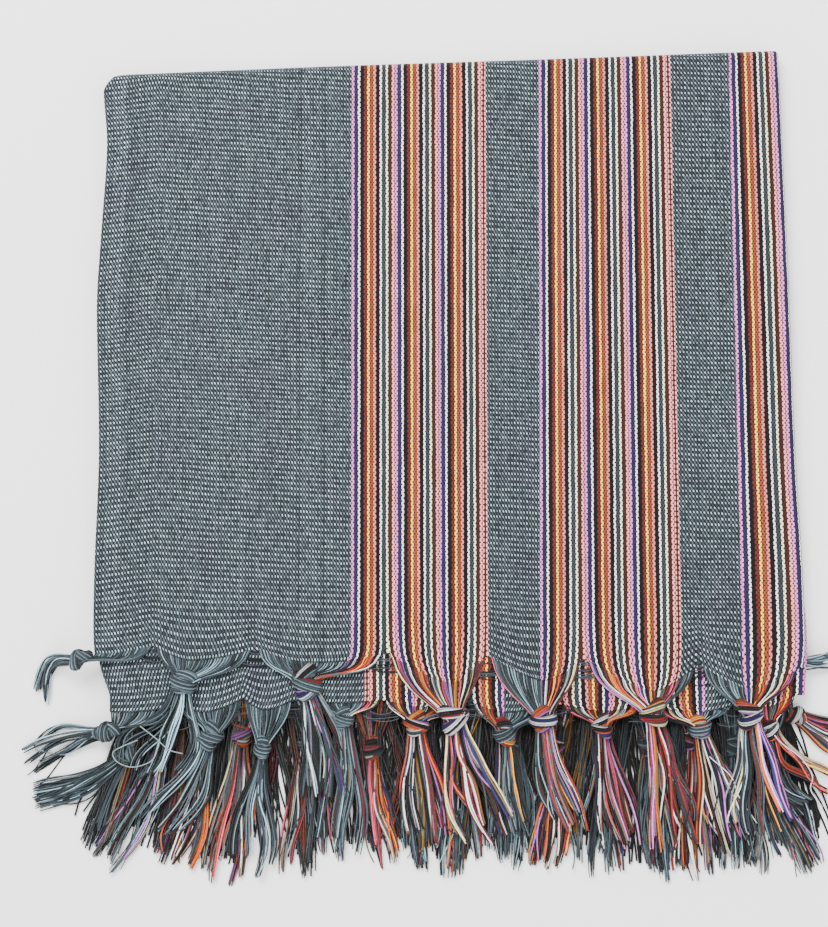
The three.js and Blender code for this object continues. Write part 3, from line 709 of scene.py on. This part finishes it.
def tail_yarns(tassel, radius, sides):
    """The yarns from the knot to the tip, in twisted locks of yarns of like colours."""
    rng, count, level = tassel.rng, tassel.count, tassel.level
    hues = np.where(tassel.plain, 0, 1 + (tassel.ends // 2) % len(STRIPES))
    pull = np.where(tassel.plain, 0.1, 0.85)
    hue_places = rng.permutation(np.linspace(-1, 1, len(STRIPES) + 1))
    key = (1 - pull) * np.linspace(-1, 1, count) + pull * hue_places[hues]
    order = np.argsort(np.argsort(key + rng.normal(0, 0.04, count))) / max(count - 1, 1) * 2 - 1
    locks = int(np.clip(count / LOCK_YARNS, FEWEST_LOCKS, MOST_LOCKS))
    place = (order + 1) / 2 * locks
    lock = np.clip(place.astype(int), 0, locks - 1)
    lane = (2 * (place - lock) - 1 + rng.normal(0, 0.2, count))[:, None]
    t = np.linspace(0, 1, TAIL_STEPS)[None]
    each = drawn_by_lock(rng, lock[:, None], locks)
    side = (np.linspace(-1, 1, locks) * 0.86 + rng.normal(0, 0.10, locks))[lock][:, None]
    deep = (rng.permutation(np.linspace(-1, 1, locks)) * 0.75)[lock][:, None]
    neck = 0.34 * tassel.wide
    half = neck + (tassel.spread / 2 - neck) * smoothstep(t * 1.1) ** 0.85
    sideways = side * half * 0.92 + tassel.bow * 1.1 * np.sin(math.pi * t)
    wave = each(0.7, 2.8) * tassel.spread / 26
    sway = np.sin(2 * math.pi * (t * each(0.5, 1.15) + each(0, 1)))
    sideways = sideways + wave * sway * smoothstep(t * 1.6)
    # a lock is a slack ribbon of yarns side by side, which turns as it goes
    bundle = 0.85 * radius * math.sqrt(count / locks) * (0.8 + each(0.9, 2.1) * smoothstep(t * 1.3))
    bundle = bundle * (1 - 0.25 * t**3)
    start = rng.uniform(0, 2 * math.pi, count)[:, None]
    turn = each(-0.7, 0.7) + each(-1, 1) * 1.5 * t
    off = rng.uniform(-0.5, 0.5, count)[:, None]
    stray = np.where(rng.random(count) < 0.1, rng.normal(0, 4.5, count), 0)[:, None]
    sideways = sideways + bundle * (lane * np.cos(turn) - off * np.sin(turn))
    sideways += stray * smoothstep(t) * np.sin(t * 4 + start)
    sideways += 0.25 * np.sin(t * rng.uniform(6, 14, count)[:, None] + start) * smoothstep(t * 2)
    reach = tassel.length * each(0.8, 1.01) * (1 - np.abs(rng.normal(0, 0.03, count)))[:, None]
    reach = reach * (1 - 0.07 * side**2)
    along = 0.18 * tassel.high + t * (reach - 0.18 * tassel.high)
    thick = 0.42 * level["thick"] * (1 - 0.4 * t)
    tip_z = 1.9 if tassel.lying else level["far"]
    fall = smoothstep(t * (1.6 if tassel.lying else 1.05))
    middle = (level["near"] - level["knot_z"]) * smoothstep(t * 6) + (tip_z - level["near"]) * fall
    round_off = np.sqrt(np.clip(1 - side**2 * 0.7, 0.1, 1))
    height = deep * thick * round_off + bundle * (lane * np.sin(turn) + off * np.cos(turn)) * 0.75
    height = height + np.where(stray != 0, 1.2, 0) * t * (1 - t)
    paths = tassel.place(along, sideways, middle + height)
    keep_above(paths, radius + REST)
    # painted shade: yarns that lie lower in the tail are darker, and all are darker near the knot;
    # the tones add painted shade and painted highlights beside each yarn's own difference
    rise = height / (thick + 0.6 * bundle)
    shade = level["shade"] * (0.1 + 1.05 * smoothstep((rise + 0.7) / 1.5))
    tones = rng.choice(PLAIN_SHADE_TONES, count), rng.choice(STRIPED_SHADE_TONES, count)
    tone = np.where(tassel.plain, *tones)
    shade = shade * (0.35 + 0.65 * smoothstep(t * level["emerge"])) * tone[:, None]
    radii = radius * np.where(tassel.plain, 0.95, 1.4)[:, None] * (1 - 0.3 * t**5)
    return yarn_tubes(paths, radii, tassel.colours, shade, sides)


def deep_yarns(tassel, colours, reach, radius):
    """Yarns of the layers in between, which hang from the hem behind the knots."""
    rng, count = tassel.rng, len(colours)
    t = np.linspace(0, 1, DEEP_STEPS)[None]
    locks = max(count // DEEP_LOCK_YARNS, 1)
    each = drawn_by_lock(rng, np.arange(count) % locks, locks)
    first = tassel.x + each(-reach, 0.5 * reach)
    last = first + (tassel.tip_x - tassel.x) * 0.9 + each(-12, 12)
    last = np.clip(last, LEFT_TIPS, RIGHT_TIPS) + rng.normal(0, 1.6, count)
    first = first + rng.normal(0, 1.6, count)
    # they end in a tuft under each tassel, with a notch between two
    notch = 1.1 * np.maximum(np.abs(last - tassel.tip_x) - 5, 0)
    end_y = tassel.tip_y + each(2, 22) + rng.uniform(0, 5, count) + notch
    # every other yarn lies on its own, low and darkened by painted shade
    single = np.arange(count) % 2 == 0
    evenly = (np.arange(count) + rng.random(count)) / count
    first = np.where(single, tassel.x + reach * (1.6 * evenly - 1), first)
    aside = (tassel.tip_x - tassel.x) * 0.8
    last = np.where(single, first + aside + rng.normal(0, 5, count), last)
    end_y = np.where(single, tassel.tip_y + rng.uniform(12, 34, count),
                     np.minimum(end_y, tassel.tip_y + 45))
    x = first[:, None] + (last - first)[:, None] * t + each(0.5, 4)[:, None] * np.sin(
        t * each(3, 8)[:, None] + each(0, 6)[:, None] + rng.normal(0, 0.2, count)[:, None])
    y = INNER_HEM_Y + 2 + (end_y[:, None] - INNER_HEM_Y - 2) * t
    top = mix(7.5, 2.6, smoothstep(t * 1.2))
    heights = rng.uniform(0.05, 0.35, count), rng.uniform(0.2, 0.9, count)
    z = np.where(single, *heights)[:, None] * top + 0.4
    paths = np.stack([x, y, np.maximum(z, radius + REST)], axis=-1)
    # painted shade: the deep yarns are dark, and darker the lower they lie and the nearer the hem
    shade = np.where(single, 0.05, 0.24)[:, None] * (0.1 + 0.9 * z / top)
    shade *= 0.06 + 0.94 * smoothstep(t * 1.15)
    radii = np.repeat(np.where(single, 1.5, 1)[:, None] * radius, DEEP_STEPS, axis=1)
    return yarn_tubes(paths, radii, colours, shade, 3)


# The loops of a knot: place along it, slant, arch, width, height and thickness.
CROSSED = ((-0.45, 0.4, -0.25, 0.9, 0.9, 1.15), (0.5, 0.25, 0.4, 0.84, 0.9, 1.05),
           (0.02, -0.42, 0.2, 1.05, 1.12, 1.35))
RINGED = ((-0.5, 0.2, -0.35, 0.82, 0.85, 1.15), (0.5, 0.2, 0.35, 0.82, 0.85, 1.0),
          (0.05, -0.12, 0.35, 1.06, 1.1, 1.4))
LOOPED = ((-0.36, -0.45, 0.05, 0.96, 0.95, 1.35), (0.36, 0.4, 0.3, 0.96, 1.08, 1.3))
KNOT_KINDS = (CROSSED, RINGED, LOOPED)
# How thick a loop's yarns are, how many it has and how much painted shade darkens them. The knots
# behind the others have fewer and thicker ones, darker with painted shade.
NEAR_LOOPS, FAR_LOOPS = (1.1, 13, 1), (1.6, 8, 0.4)


def knot_wraps(tassel, kind, radius, strands, light):
    """The overhand knot's loops, each a rope of yarns wrapped round it."""
    rng, level = tassel.rng, tassel.level
    high, wide, thick = tassel.high / 2, tassel.wide / 2, level["thick"] / 2
    lean = rng.choice([-1, 1])
    turn = np.linspace(0, 2 * math.pi, LOOP_STEPS)[None]
    parts = []
    for place, slant, arch, broad, tall, weight in kind:
        rope = 0.37 * high * weight
        count = max(6, round(strands * weight))
        around = 2 * math.pi * np.arange(count)[:, None] / count + rng.choice([-1, 1]) * turn * 0.4
        out = rope * np.cos(around) * rng.uniform(0.85, 1.12, (count, 1))
        forth = rope * 1.15 * np.sin(around)
        along = (place + lean * slant * np.cos(turn) + arch * np.sin(turn)) * high + forth
        sideways = (wide * broad - rope + out) * np.cos(turn)
        upward = (thick * tall - 0.6 * rope + out * 0.75) * np.sin(turn)
        paths = tassel.place(along, sideways, upward)
        first = rng.integers(0, tassel.count) if tassel.wrap is None else int(
            tassel.wrap * tassel.count + rng.integers(0, 4))
        pick = (first + np.arange(count)) % tassel.count
        # painted light and shade: each loop is lighter on its upper side and on the outer side of
        # its rope, darker elsewhere
        lit = smoothstep((np.sin(turn) + 0.4) / 1.3) * smoothstep((out / rope + 0.7) / 1.6)
        shade = light * level["shade"] * (0.15 + 0.95 * lit) * rng.uniform(0.65, 1.15, (count, 1))
        radii = np.full(paths.shape[:2], radius * 1.15)
        parts.append(yarn_tubes(paths, radii, tassel.colours[pick], shade, 4, up=tassel.way))
    return parts


def knot_core(tassel):
    """A bead in the wraps, nearly black as painted shade, so that no light comes through them."""
    steps = np.linspace(-1, 1, 9)[None]
    radii = np.sqrt(np.clip(1 - steps**2, 0.02, 1))
    path = tassel.place(steps * tassel.high * 0.42, steps * 0, steps * 0 - 0.3)
    points, faces = tubes(path, radii, UP, 10)
    offset = points - np.repeat(path[0], 10, axis=0)
    sideways = (offset @ tassel.across)[:, None] * tassel.across * (tassel.wide * 0.38 - 1)
    upward = offset[:, 2:] * UP * (tassel.level["thick"] * 0.32 - 1)
    # painted shade: the bead takes a nearly black share of the yarns' colour
    colour = tassel.colours.mean(axis=0) * 0.05 * tassel.level["shade"]
    points = points + sideways + upward
    keep_above(points, CLEARANCE)
    return points, faces, np.tile(colour, (len(points), 1))


def tassel_piece(name, tassel, starts, fringe, extra=()):
    """One tassel as one mesh: gathered yarns, knot and tail."""
    radius = half_yarn(fringe)
    sides = 3 if extra else 4
    kind = KNOT_KINDS[tassel.rng.integers(len(KNOT_KINDS))]
    parts = [gathered_yarns(tassel, starts, radius * 0.85, sides),
             tail_yarns(tassel, radius, sides)]
    thick, strands, light = FAR_LOOPS if extra else NEAR_LOOPS
    loops = knot_wraps(tassel, kind, radius * thick, strands, light)
    parts += [knot_core(tassel), *loops, *extra]
    piece = yarn_piece(f"{name}_yarn", parts)
    piece["node"] = name
    return piece


def varied(colours, rng):
    """Colours of yarns with small differences between them."""
    light = rng.uniform(0.8, 1.15, (len(colours), 1))
    return colours * light * rng.uniform(0.95, 1.05, colours.shape)


def leaf_tassels(prefix, rows, hem, level, x_of, ends, fringe):
    """The tassels of the front or second leaf, whose yarns go on from the cloth's ends."""
    pieces = []
    for i, row in enumerate(rows):
        flat = x_of(ends, np.full(len(ends), float(hem[i][1])))
        mine = (flat >= hem[i][0]) & (flat < hem[i + 1][0])
        flat = flat[mine]
        flat = x_of(ends[mine], hem_at(hem, flat)[0])
        lip = 0.03 * (hem[i + 1][0] - hem[i][0])
        flat = np.clip(flat, hem[i][0] + lip, hem[i + 1][0] - lip)
        x, y, _, lobe = hang(hem, rows, flat, np.full(len(flat), 0.8))
        starts = np.stack([x, y, level["hem_z"] - 0.6 * (1 - lobe)], axis=1)
        tassel = Tassel(row, level, ends[mine], fringe.seed + 31 * i + len(prefix))
        pieces.append(tassel_piece(f"{prefix}_{i + 1}", tassel, starts, fringe))
    return pieces


# The first end of each kind of inner tassel.
FIRST_ENDS = {"slate_yarn": 20, "striped_yarn": 172, "mixed_yarn": 228}


def inner_tassels(fringe, slots):
    """The tassels of the layers below, with the yarns that hang between them."""
    pieces = []
    for i, row in enumerate(INNER_TASSELS):
        name = f"inner_tassel_{i + 1}"
        rng = np.random.default_rng(fringe.seed + 100 + i)
        count = fringe.inner_yarns
        first = FIRST_ENDS[slots[name]] + (11 * i) % REPEAT_ENDS
        ends = first + np.round(np.linspace(0, 50, count)).astype(int)
        tassel = Tassel(row, INNER_LEVEL, ends, fringe.seed + 200 + i)
        gather = 3.0 if tassel.lying else INNER_GATHER
        x = np.clip(np.linspace(-gather, gather, count) + tassel.x, HEM_LEFT, HEM_RIGHT)
        starts = np.stack([x, np.full(count, INNER_HEM_Y), np.full(count, INNER_HEM_Z)], axis=1)
        extra = ()
        if not tassel.lying:
            hues = rng.integers(0, ENDS, fringe.deep_yarns // DEEP_LOCK_YARNS)
            hidden = varied(end_colours(np.resize(hues, fringe.deep_yarns))[0], rng)
            reach = abs(INNER_TASSELS[i - 1][0] - row[0]) if i else 12
            extra = (deep_yarns(tassel, hidden, 0.5 * reach + 4, half_yarn(fringe)),)
        pieces.append(tassel_piece(name, tassel, starts, fringe, extra))
    return pieces


PICKS_IN_GAP = 12


def loose_picks(name, hem, height, cloth, seed):
    """Weft threads that span the openings between the lobes of a hem."""
    rng = np.random.default_rng(seed)
    paths = []
    for x, y, _, _ in hem[1:-1]:
        for rise in rng.uniform(-9, 5, PICKS_IN_GAP):
            half = 3.2 + 0.35 * (5 - rise) + rng.uniform(-1.5, 1.5)
            t = np.linspace(-1, 1, 9)
            sag = rng.uniform(-0.4, 2.4) * (1 - t**2) + rng.normal(0, 0.5) * t
            paths.append(np.stack([x + t * half + rng.normal(0, 0.8), y + rise - sag,
                                   height - 1.1 - 0.5 * (1 - t**2) + 0 * t], axis=1))
    paths = np.array(paths)
    colours = linear(cloth.weft) * rng.choice(PICK_TONES, (len(paths), 1))
    radii, shade = np.full(paths.shape[:2], 0.26), np.ones(paths.shape[:2])
    return yarn_piece(name, [yarn_tubes(paths, radii, colours, shade, 5)])


# Single yarns that lie over the tassels, and their colours.
LOOSE_YARNS = (
    ("light", ((-153.9, -188.1, 10), (-161.6, -191.2, 9), (-166.4, -194.4, 8),
               (-163.8, -199, 8), (-156.1, -201.3, 8.5), (-147, -198.2, 9.5),
               (-143.9, -192, 10), (-143.1, -188.8, 9.5))),
    ("light", ((-152.7, -181.1, 10.5), (-145, -187, 10.5), (-138.5, -192.6, 10),
               (-131.7, -194.7, 9))),
    ("white", ((159.9, -185.3, 12), (163.5, -189.5, 12.5), (173.6, -197, 9.5),
               (179.2, -205.6, 7.5), (178.7, -212.7, 6), (184.8, -221.3, 3.5))),
    ("white", ((128, -196, 11), (139, -206, 8), (143, -216, 7), (152, -229, 5))),
)


def loose_threads(fringe):
    """Yarns that have slipped out of the tassels, and a bundle of plain ones at the fold."""
    rng = np.random.default_rng(fringe.seed + 7)
    radius = half_yarn(fringe)
    colour_of = {"light": (0.58, 0.66, 0.68), **{name: colour for name, _, colour in STRIPES}}
    t = np.linspace(0, 1, LOOSE_STEPS)
    parts = []
    for name, route in LOOSE_YARNS:
        path = smooth_line(route, 40)[None]
        shade = np.full(path.shape[:2], 0.8)
        colour = linear(colour_of[name])[None]
        parts.append(yarn_tubes(path, 0.94 * radius * shade, colour, shade, 5))
    count = 18
    lane, fan = rng.uniform(-1, 1, count)[:, None], rng.normal(0, 1, count)[:, None]
    x = 169 + (28 + 5 * fan) * t
    y = -149.5 + 3.2 * lane + (3.4 + 3 * fan) * t
    y = y - 1.6 * np.sin((3 + lane) * t) + 0.5 * np.sin(9 * t + 5 * lane)
    z = 9 - 5.5 * t + rng.uniform(-1, 1, (count, 1))
    paths = np.stack([x, y, z], axis=-1)
    tone = rng.choice(BUNDLE_TONES, count)[:, None] * np.ones(LOOSE_STEPS)
    plain = linear(FREED_PLAIN)[np.arange(count) % 2]
    parts.append(yarn_tubes(paths, np.full(tone.shape, radius), plain, tone, 4))
    return yarn_piece("loose_threads", parts)


# ---- materials ----
def arithmetic(operation, swapped=False):
    """A method of Field that places a Math node for it and another value."""

    def place(self, other):
        values = (other, self) if swapped else (self, other)
        return self.graph.math(operation, *values)

    return place


class Field:
    """A value that changes over a surface. Arithmetic on it places Math nodes."""

    __add__, __sub__ = arithmetic("ADD"), arithmetic("SUBTRACT")
    __rsub__ = arithmetic("SUBTRACT", swapped=True)
    __mul__, __truediv__ = arithmetic("MULTIPLY"), arithmetic("DIVIDE")
    __mod__ = arithmetic("MODULO")
    __gt__, __lt__ = arithmetic("GREATER_THAN"), arithmetic("LESS_THAN")

    def __init__(self, graph, socket):
        self.graph, self.socket = graph, socket


class Graph:
    """A short way to place and join shader nodes."""

    def __init__(self, tree):
        self.tree = tree

    def node(self, kind, inputs=None, **values):
        """Places a node and gives its outputs."""
        made = self.tree.nodes.new(f"ShaderNode{kind}")
        for name, value in values.items():
            setattr(made, name, value)
        for name, value in (inputs or {}).items():
            self.put(made.inputs[name], value)
        return [Field(self, socket) for socket in made.outputs]

    def put(self, socket, value):
        if isinstance(value, Field):
            self.tree.links.new(value.socket, socket)
        else:
            socket.default_value = value

    def math(self, operation, *values):
        return self.node("Math", dict(enumerate(values)), operation=operation)[0]

    def mix(self, factor, a, b, blend="MIX", **values):
        sockets = {0: factor, 6: a, 7: b}
        return self.node("Mix", sockets, data_type="RGBA", blend_type=blend, **values)[2]

    def steps(self, value, stops):
        """The colour of each stretch of a value, given with where it starts."""
        colour = self.node("ValToRGB", {"Fac": value})[0]
        ramp = colour.socket.node.color_ramp
        ramp.interpolation = "CONSTANT"
        for i, (start, shown) in enumerate(stops):
            stop = ramp.elements[i] if i < 2 else ramp.elements.new(start)
            stop.position, stop.color = start, shown
        return colour

    def ramp(self, value, low, high):
        return self.node("MapRange", {"Value": value, "From Min": low, "From Max": high})[0]

    def noise(self, vector, scale, detail=2.0):
        return self.node("TexNoise", {"Vector": vector, "Scale": scale, "Detail": detail})[0]

    def grey(self, value):
        return self.node("CombineColor", {"Red": value, "Green": value, "Blue": value})[0]

    def bump(self, height, strength, distance):
        return self.node("Bump", {"Height": height, "Strength": strength, "Distance": distance})[0]


def new_group(name, given, make):
    """A shader node group, in which make turns the given values into the named outputs."""
    group = bpy.data.node_groups.new(name, "ShaderNodeTree")
    graph = Graph(group)
    for label in given:
        group.interface.new_socket(label, in_out="INPUT", socket_type="NodeSocketFloat")
    sockets = group.nodes.new("NodeGroupInput").outputs
    made = make(graph, *(Field(graph, sockets[label]) for label in given))
    for label in made:
        kind = "Color" if label == "Color" else "Float"
        group.interface.new_socket(label, in_out="OUTPUT", socket_type=f"NodeSocket{kind}")
    sockets = group.nodes.new("NodeGroupOutput").inputs
    for label, value in made.items():
        graph.put(sockets[label], value)
    return group


def new_material(name, finish):
    """A material with a plain finish, its graph and its shader's inputs."""
    material = bpy.data.materials.new(name)
    material.use_nodes = True
    inputs = material.node_tree.nodes["Principled BSDF"].inputs
    for label, value in finish.items():
        inputs[label].default_value = value
    return material, Graph(material.node_tree), inputs


def rgba(colour):
    return (*[float(c) for c in colour], 1.0)


def warp_floats(graph, end, pick):
    """Where a point lies in the float of a plain weave, from its end and pick."""
    p = graph.math("FLOOR", (end + pick) * 0.5) + 0.5
    q = graph.math("FLOOR", (end - pick) * 0.5) + 0.5
    number, row = p + q, p - q
    return {"Across": end - number, "Along": pick - row, "End number": number, "Pick number": row}


def stripe_colours(graph, number, cloth):
    """The colour of a warp end from its number, which end of its stripe's pair it is, and
    whether it is a light plain one."""
    local, inside = 0.0, 0.0
    for start in GROUP_STARTS:
        place = number - start
        here = (place > -0.5) * (place < GROUP_ENDS - 0.5)
        local = place * here + local
        inside = here + inside
    starts = np.cumsum([0] + [ends for _, ends, _ in STRIPES]) / REPEAT_ENDS
    shown = [rgba(linear(colour)) for _, _, colour in STRIPES]
    repeat = graph.steps((local % REPEAT_ENDS + 0.5) / REPEAT_ENDS, zip(starts, shown))
    closing = graph.mix(local % 2.0, shown[-1], shown[-2])
    striped = graph.mix(local > REPEATS * REPEAT_ENDS - 0.5, repeat, closing)
    odd = graph.math("ABSOLUTE", number % 2.0) > 0.5
    plain = graph.mix(odd, rgba(linear(cloth.light_slate)), rgba(linear(cloth.dark_slate)))
    left = 1.0 - local % 2.0 * 2.0
    return {"Color": graph.mix(inside, plain, striped), "Striped": inside, "Side": left * inside,
            "Light": (1.0 - odd) * (1.0 - inside)}


# From which end on, counted from the nearer selvedge, the plain bands are lighter or darker;
# USUAL_TONE is the tone of most of them.
TONE_LINES = ((0, 0.58), (5, 0.74), (11, 0.82), (14, 0.62), (18, 0.55), (20, 0.625), (129, 0.44),
              (131, 0.66), (145, 0.42), (147, 0.61), (164, 0.57))
USUAL_TONE = 0.625
# How far the weave's slow and quick unevenness and its lengthwise streaks are stretched.
SLOW, QUICK, STREAKS = (0.035, 0.05, 1), (0.3, 0.12, 1), (0.09, 0.004, 1)


def cloth_material(cloth):
    name = "woven_cotton"
    if name in bpy.data.materials:
        return bpy.data.materials[name]
    material, graph, shader = new_material(name, {
        "Roughness": 0.9, "Specular IOR Level": 0.08, "Sheen Weight": 0.04, "Sheen Roughness": 0.5})
    uv = graph.node("UVMap", uv_map="weave")[0]
    slow, quick, streaks = (graph.node("Mapping", {"Vector": uv, "Scale": scale})[0]
                            for scale in (SLOW, QUICK, STREAKS))
    # the yarns wander a little
    end, pick, _ = graph.node("SeparateXYZ", {"Vector": uv})
    end += graph.noise(quick, 1.0) - 0.5
    pick += (graph.noise(slow, 1.3) - 0.5) * 1.1
    across, along, number, row = graph.node(
        "Group", node_tree=new_group("Warp floats", ("End", "Pick"), warp_floats),
        inputs={"End": end, "Pick": pick})
    colour, striped, side, is_light = graph.node(
        "Group", node_tree=new_group("Stripe colours", ("End number",),
                                     lambda group, number: stripe_colours(group, number, cloth)),
        inputs={"End number": number})
    # each float is a small lens; those of the light plain ends are the shortest
    slim = graph.math("SQRT", graph.node("RGBToBW", {"Color": colour})[0]) * 0.33
    length = 0.86 - is_light * 0.38
    width = 0.7 - slim - is_light * 0.05
    leaning = across + along * ((1.0 - striped) * 0.38)
    # the two ends of a light stripe lie close together
    across = (leaning - side * (slim * 0.6)) / width
    square = (graph.math("POWER", graph.math("ABSOLUTE", across), 2.0)
              + graph.math("POWER", graph.math("ABSOLUTE", along / length), 2.2))
    height = graph.math("SQRT", graph.math("MAXIMUM", 1.0 - square, 0.0))
    cell = graph.node("CombineXYZ", {"X": number, "Y": row})[0]
    chance = graph.node("TexWhiteNoise", {"Vector": cell}, noise_dimensions="2D")[0]
    each_end = graph.node("TexWhiteNoise", {"W": number}, noise_dimensions="1D")[0]
    uneven = 0.95 - striped * 0.65
    light = chance * uneven + (striped * 0.68 + 1.1 - uneven * 0.6)
    # lighter and darker lines run along the cloth
    nearer = graph.math("MINIMUM", number, ENDS - number)
    band = GROUP_STARTS[0]
    stops = [(at / band, (tone, tone, tone, 1)) for at, tone in TONE_LINES]
    lines = graph.steps(nearer / band, stops)
    light = light * (lines * (1 / USUAL_TONE))
    # the yarns' own unevenness by end, by patch and in streaks; the last factor is painted shade
    # that darkens each float towards its edges
    for share, base in ((each_end * 0.2, 0.9), (graph.noise(slow, 2.2, 4.0) * 0.6, 0.7),
                        (graph.noise(streaks, 1.0) * 0.5, 0.75), (height * 0.5, 0.5)):
        light = light * (share + base)
    patch = graph.ramp(graph.noise(slow, 0.9, 1.0), 0.5, 0.68) * (0.75 - striped * 0.75)
    tinted = graph.mix(patch, colour, (1.0, 0.86, 0.98, 1), "MULTIPLY")
    yarn = graph.mix(1.0, tinted, graph.grey(light), "MULTIPLY", clamp_result=True)
    graph.put(shader["Base Color"],
              graph.mix(graph.ramp(height, 0.0, 0.45), rgba(linear(cloth.weft)), yarn))
    graph.put(shader["Normal"], graph.bump(height, 0.7, 0.3 * MM))
    return material


def yarn_material():
    name = "cotton_yarn"
    if name in bpy.data.materials:
        return bpy.data.materials[name]
    material, graph, shader = new_material(name, {
        "Roughness": 0.8, "Specular IOR Level": 0.2, "Sheen Weight": 0.1, "Sheen Roughness": 0.45})
    # the stored colours hold the yarns' painted shade and painted highlights
    stored = graph.node("Attribute", attribute_name="yarn_colour_and_shade")[0]
    _, _, _, place, *_ = graph.node("TexCoord")  # the piece's own coordinates
    light = graph.ramp(graph.noise(place, 900.0, 3.0), 0.3, 0.7) * 0.45 + 0.75
    graph.put(shader["Base Color"], graph.mix(1.0, stored, graph.grey(light), "MULTIPLY"))
    graph.put(shader["Normal"], graph.bump(graph.noise(place, 3500.0), 0.4, 0.1 * MM))
    return material


def floor_material(stage):
    return new_material("pale_floor", {"Base Color": rgba(stage.floor_colour), "Roughness": 0.95,
                                       "Specular IOR Level": 0.1})[0]


# ---- operators ----
def settle(piece, node, material):
    """Finishes a piece: its material, body and the solid it stands for."""
    piece.data.materials.append(material)
    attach(piece, BODY)
    if node:
        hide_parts(node)


def add_cloth(context, make, node):
    """Makes a piece of cloth and finishes it as the solid it stands for."""
    cloth = context.scene.stole_cloth
    settle(make(cloth), node, cloth_material(cloth))
    return {"FINISHED"}


FLOOR_REACH = 4000
# The lights, which face the origin: name, place in metres, size, power.
LIGHTS = (("soft_above", (-0.5, 0.9, 1.5), 1.0, 66), ("soft_front", (0.5, -0.9, 1.5), 1.4, 16))
ROOM_GLOW = 1.5


class STOLE_OT_stage(bpy.types.Operator):
    """Places the camera, the floor and the lights"""

    bl_idname = "stole.stage"
    bl_label = "Stage"

    def execute(self, context):
        stage = context.scene.stole_stage
        target = Vector(stage.target)
        back = Vector((0, -math.sin(stage.tilt), math.cos(stage.tilt)))
        data = bpy.data.cameras.new("camera")
        data.lens = data.sensor_width * stage.distance / stage.view_height
        context.scene.camera = add_object("camera", data, target + back * stage.distance,
                                          (stage.tilt, 0, 0))
        corners = np.array([(-1, -1, 0), (1, -1, 0), (1, 1, 0), (-1, 1, 0)]) * FLOOR_REACH
        floor = mesh_object("floor", corners, [np.array([[0, 1, 2, 3]])])
        floor.data.materials.append(floor_material(stage))
        for name, place, size, power in LIGHTS:
            data = bpy.data.lights.new(name, "AREA")
            data.size, data.energy = size, power
            add_object(name, data, place, (-Vector(place)).to_track_quat("-Z", "Y").to_euler())
        world = bpy.data.worlds.new("soft_room")
        world.use_nodes = True
        glow = world.node_tree.nodes["Background"].inputs
        glow["Color"].default_value = (1, 1, 1, 1)
        glow["Strength"].default_value = ROOM_GLOW
        context.scene.world = world
        return {"FINISHED"}


class STOLE_OT_front_leaf(bpy.types.Operator):
    """Makes the top leaf of cloth"""

    bl_idname = "stole.front_leaf"
    bl_label = "Front leaf"

    def execute(self, context):
        return add_cloth(context, front_leaf, "front_leaf")


class STOLE_OT_second_leaf(bpy.types.Operator):
    """Makes the leaf that shows below the front leaf's hem"""

    bl_idname = "stole.second_leaf"
    bl_label = "Second leaf"

    def execute(self, context):
        return add_cloth(context, second_leaf, "second_leaf")


class STOLE_OT_inner_layers(bpy.types.Operator):
    """Makes the folded layers below the two leaves"""

    bl_idname = "stole.inner_layers"
    bl_label = "Inner layers"

    def execute(self, context):
        return add_cloth(context, inner_layers, "inner_layers")


class STOLE_OT_tassels(bpy.types.Operator):
    """Makes the knotted tassels of all leaves"""

    bl_idname = "stole.tassels"
    bl_label = "Tassels"

    def execute(self, context):
        cloth, fringe = context.scene.stole_cloth, context.scene.stole_fringe
        slots = {part["node"]: part["material_slot"] for part in frame["record"]["subparts"]}
        front = leaf_tassels("front_tassel", FRONT_TASSELS, FRONT_HEM, FRONT_LEVEL, band_x,
                             np.arange(0, EDGE_END), fringe)
        second = leaf_tassels("second_tassel", SECOND_TASSELS, SECOND_HEM, SECOND_LEVEL, second_x,
                              np.arange(ENDS - 1, ENDS - EDGE_END, -1), fringe)
        for piece in front + second + inner_tassels(fringe, slots):
            node = piece["node"]
            settle(piece, node, yarn_material())
        for name, hem, height in (("front_leaf_picks", FRONT_HEM, STACK_HEIGHT),
                                  ("second_leaf_picks", SECOND_HEM, SECOND_TOP)):
            picks = loose_picks(name, hem, height, cloth, fringe.seed)
            settle(picks, None, yarn_material())
        settle(loose_threads(fringe), None, yarn_material())
        return {"FINISHED"}


class STOLE_PT_panel(bpy.types.Panel):
    """The steps that build the stole"""

    bl_label = "Stole"
    bl_idname = "STOLE_PT_panel"
    bl_space_type = "VIEW_3D"
    bl_region_type = "UI"
    bl_category = "Stole"

    def draw(self, context):
        for step in STEPS:
            self.layout.operator(step.bl_idname)


SETTINGS = {
    "stole_stage": StoleStageSettings,
    "stole_cloth": StoleClothSettings,
    "stole_fringe": StoleFringeSettings,
}
STEPS = (STOLE_OT_stage, STOLE_OT_inner_layers, STOLE_OT_second_leaf, STOLE_OT_front_leaf,
         STOLE_OT_tassels)


def register():
    for kind in (*SETTINGS.values(), *STEPS, STOLE_PT_panel):
        bpy.utils.register_class(kind)
    for name, kind in SETTINGS.items():
        setattr(bpy.types.Scene, name, bpy.props.PointerProperty(type=kind))


def unregister():
    for name in SETTINGS:
        delattr(bpy.types.Scene, name)
    for kind in (STOLE_PT_panel, *reversed(STEPS), *SETTINGS.values()):
        bpy.utils.unregister_class(kind)


def main():
    register()
    bpy.ops.stole.stage()
    bpy.ops.stole.inner_layers()
    bpy.ops.stole.second_leaf()
    bpy.ops.stole.front_leaf()
    bpy.ops.stole.tassels()


if __name__ == "__main__":
    main()
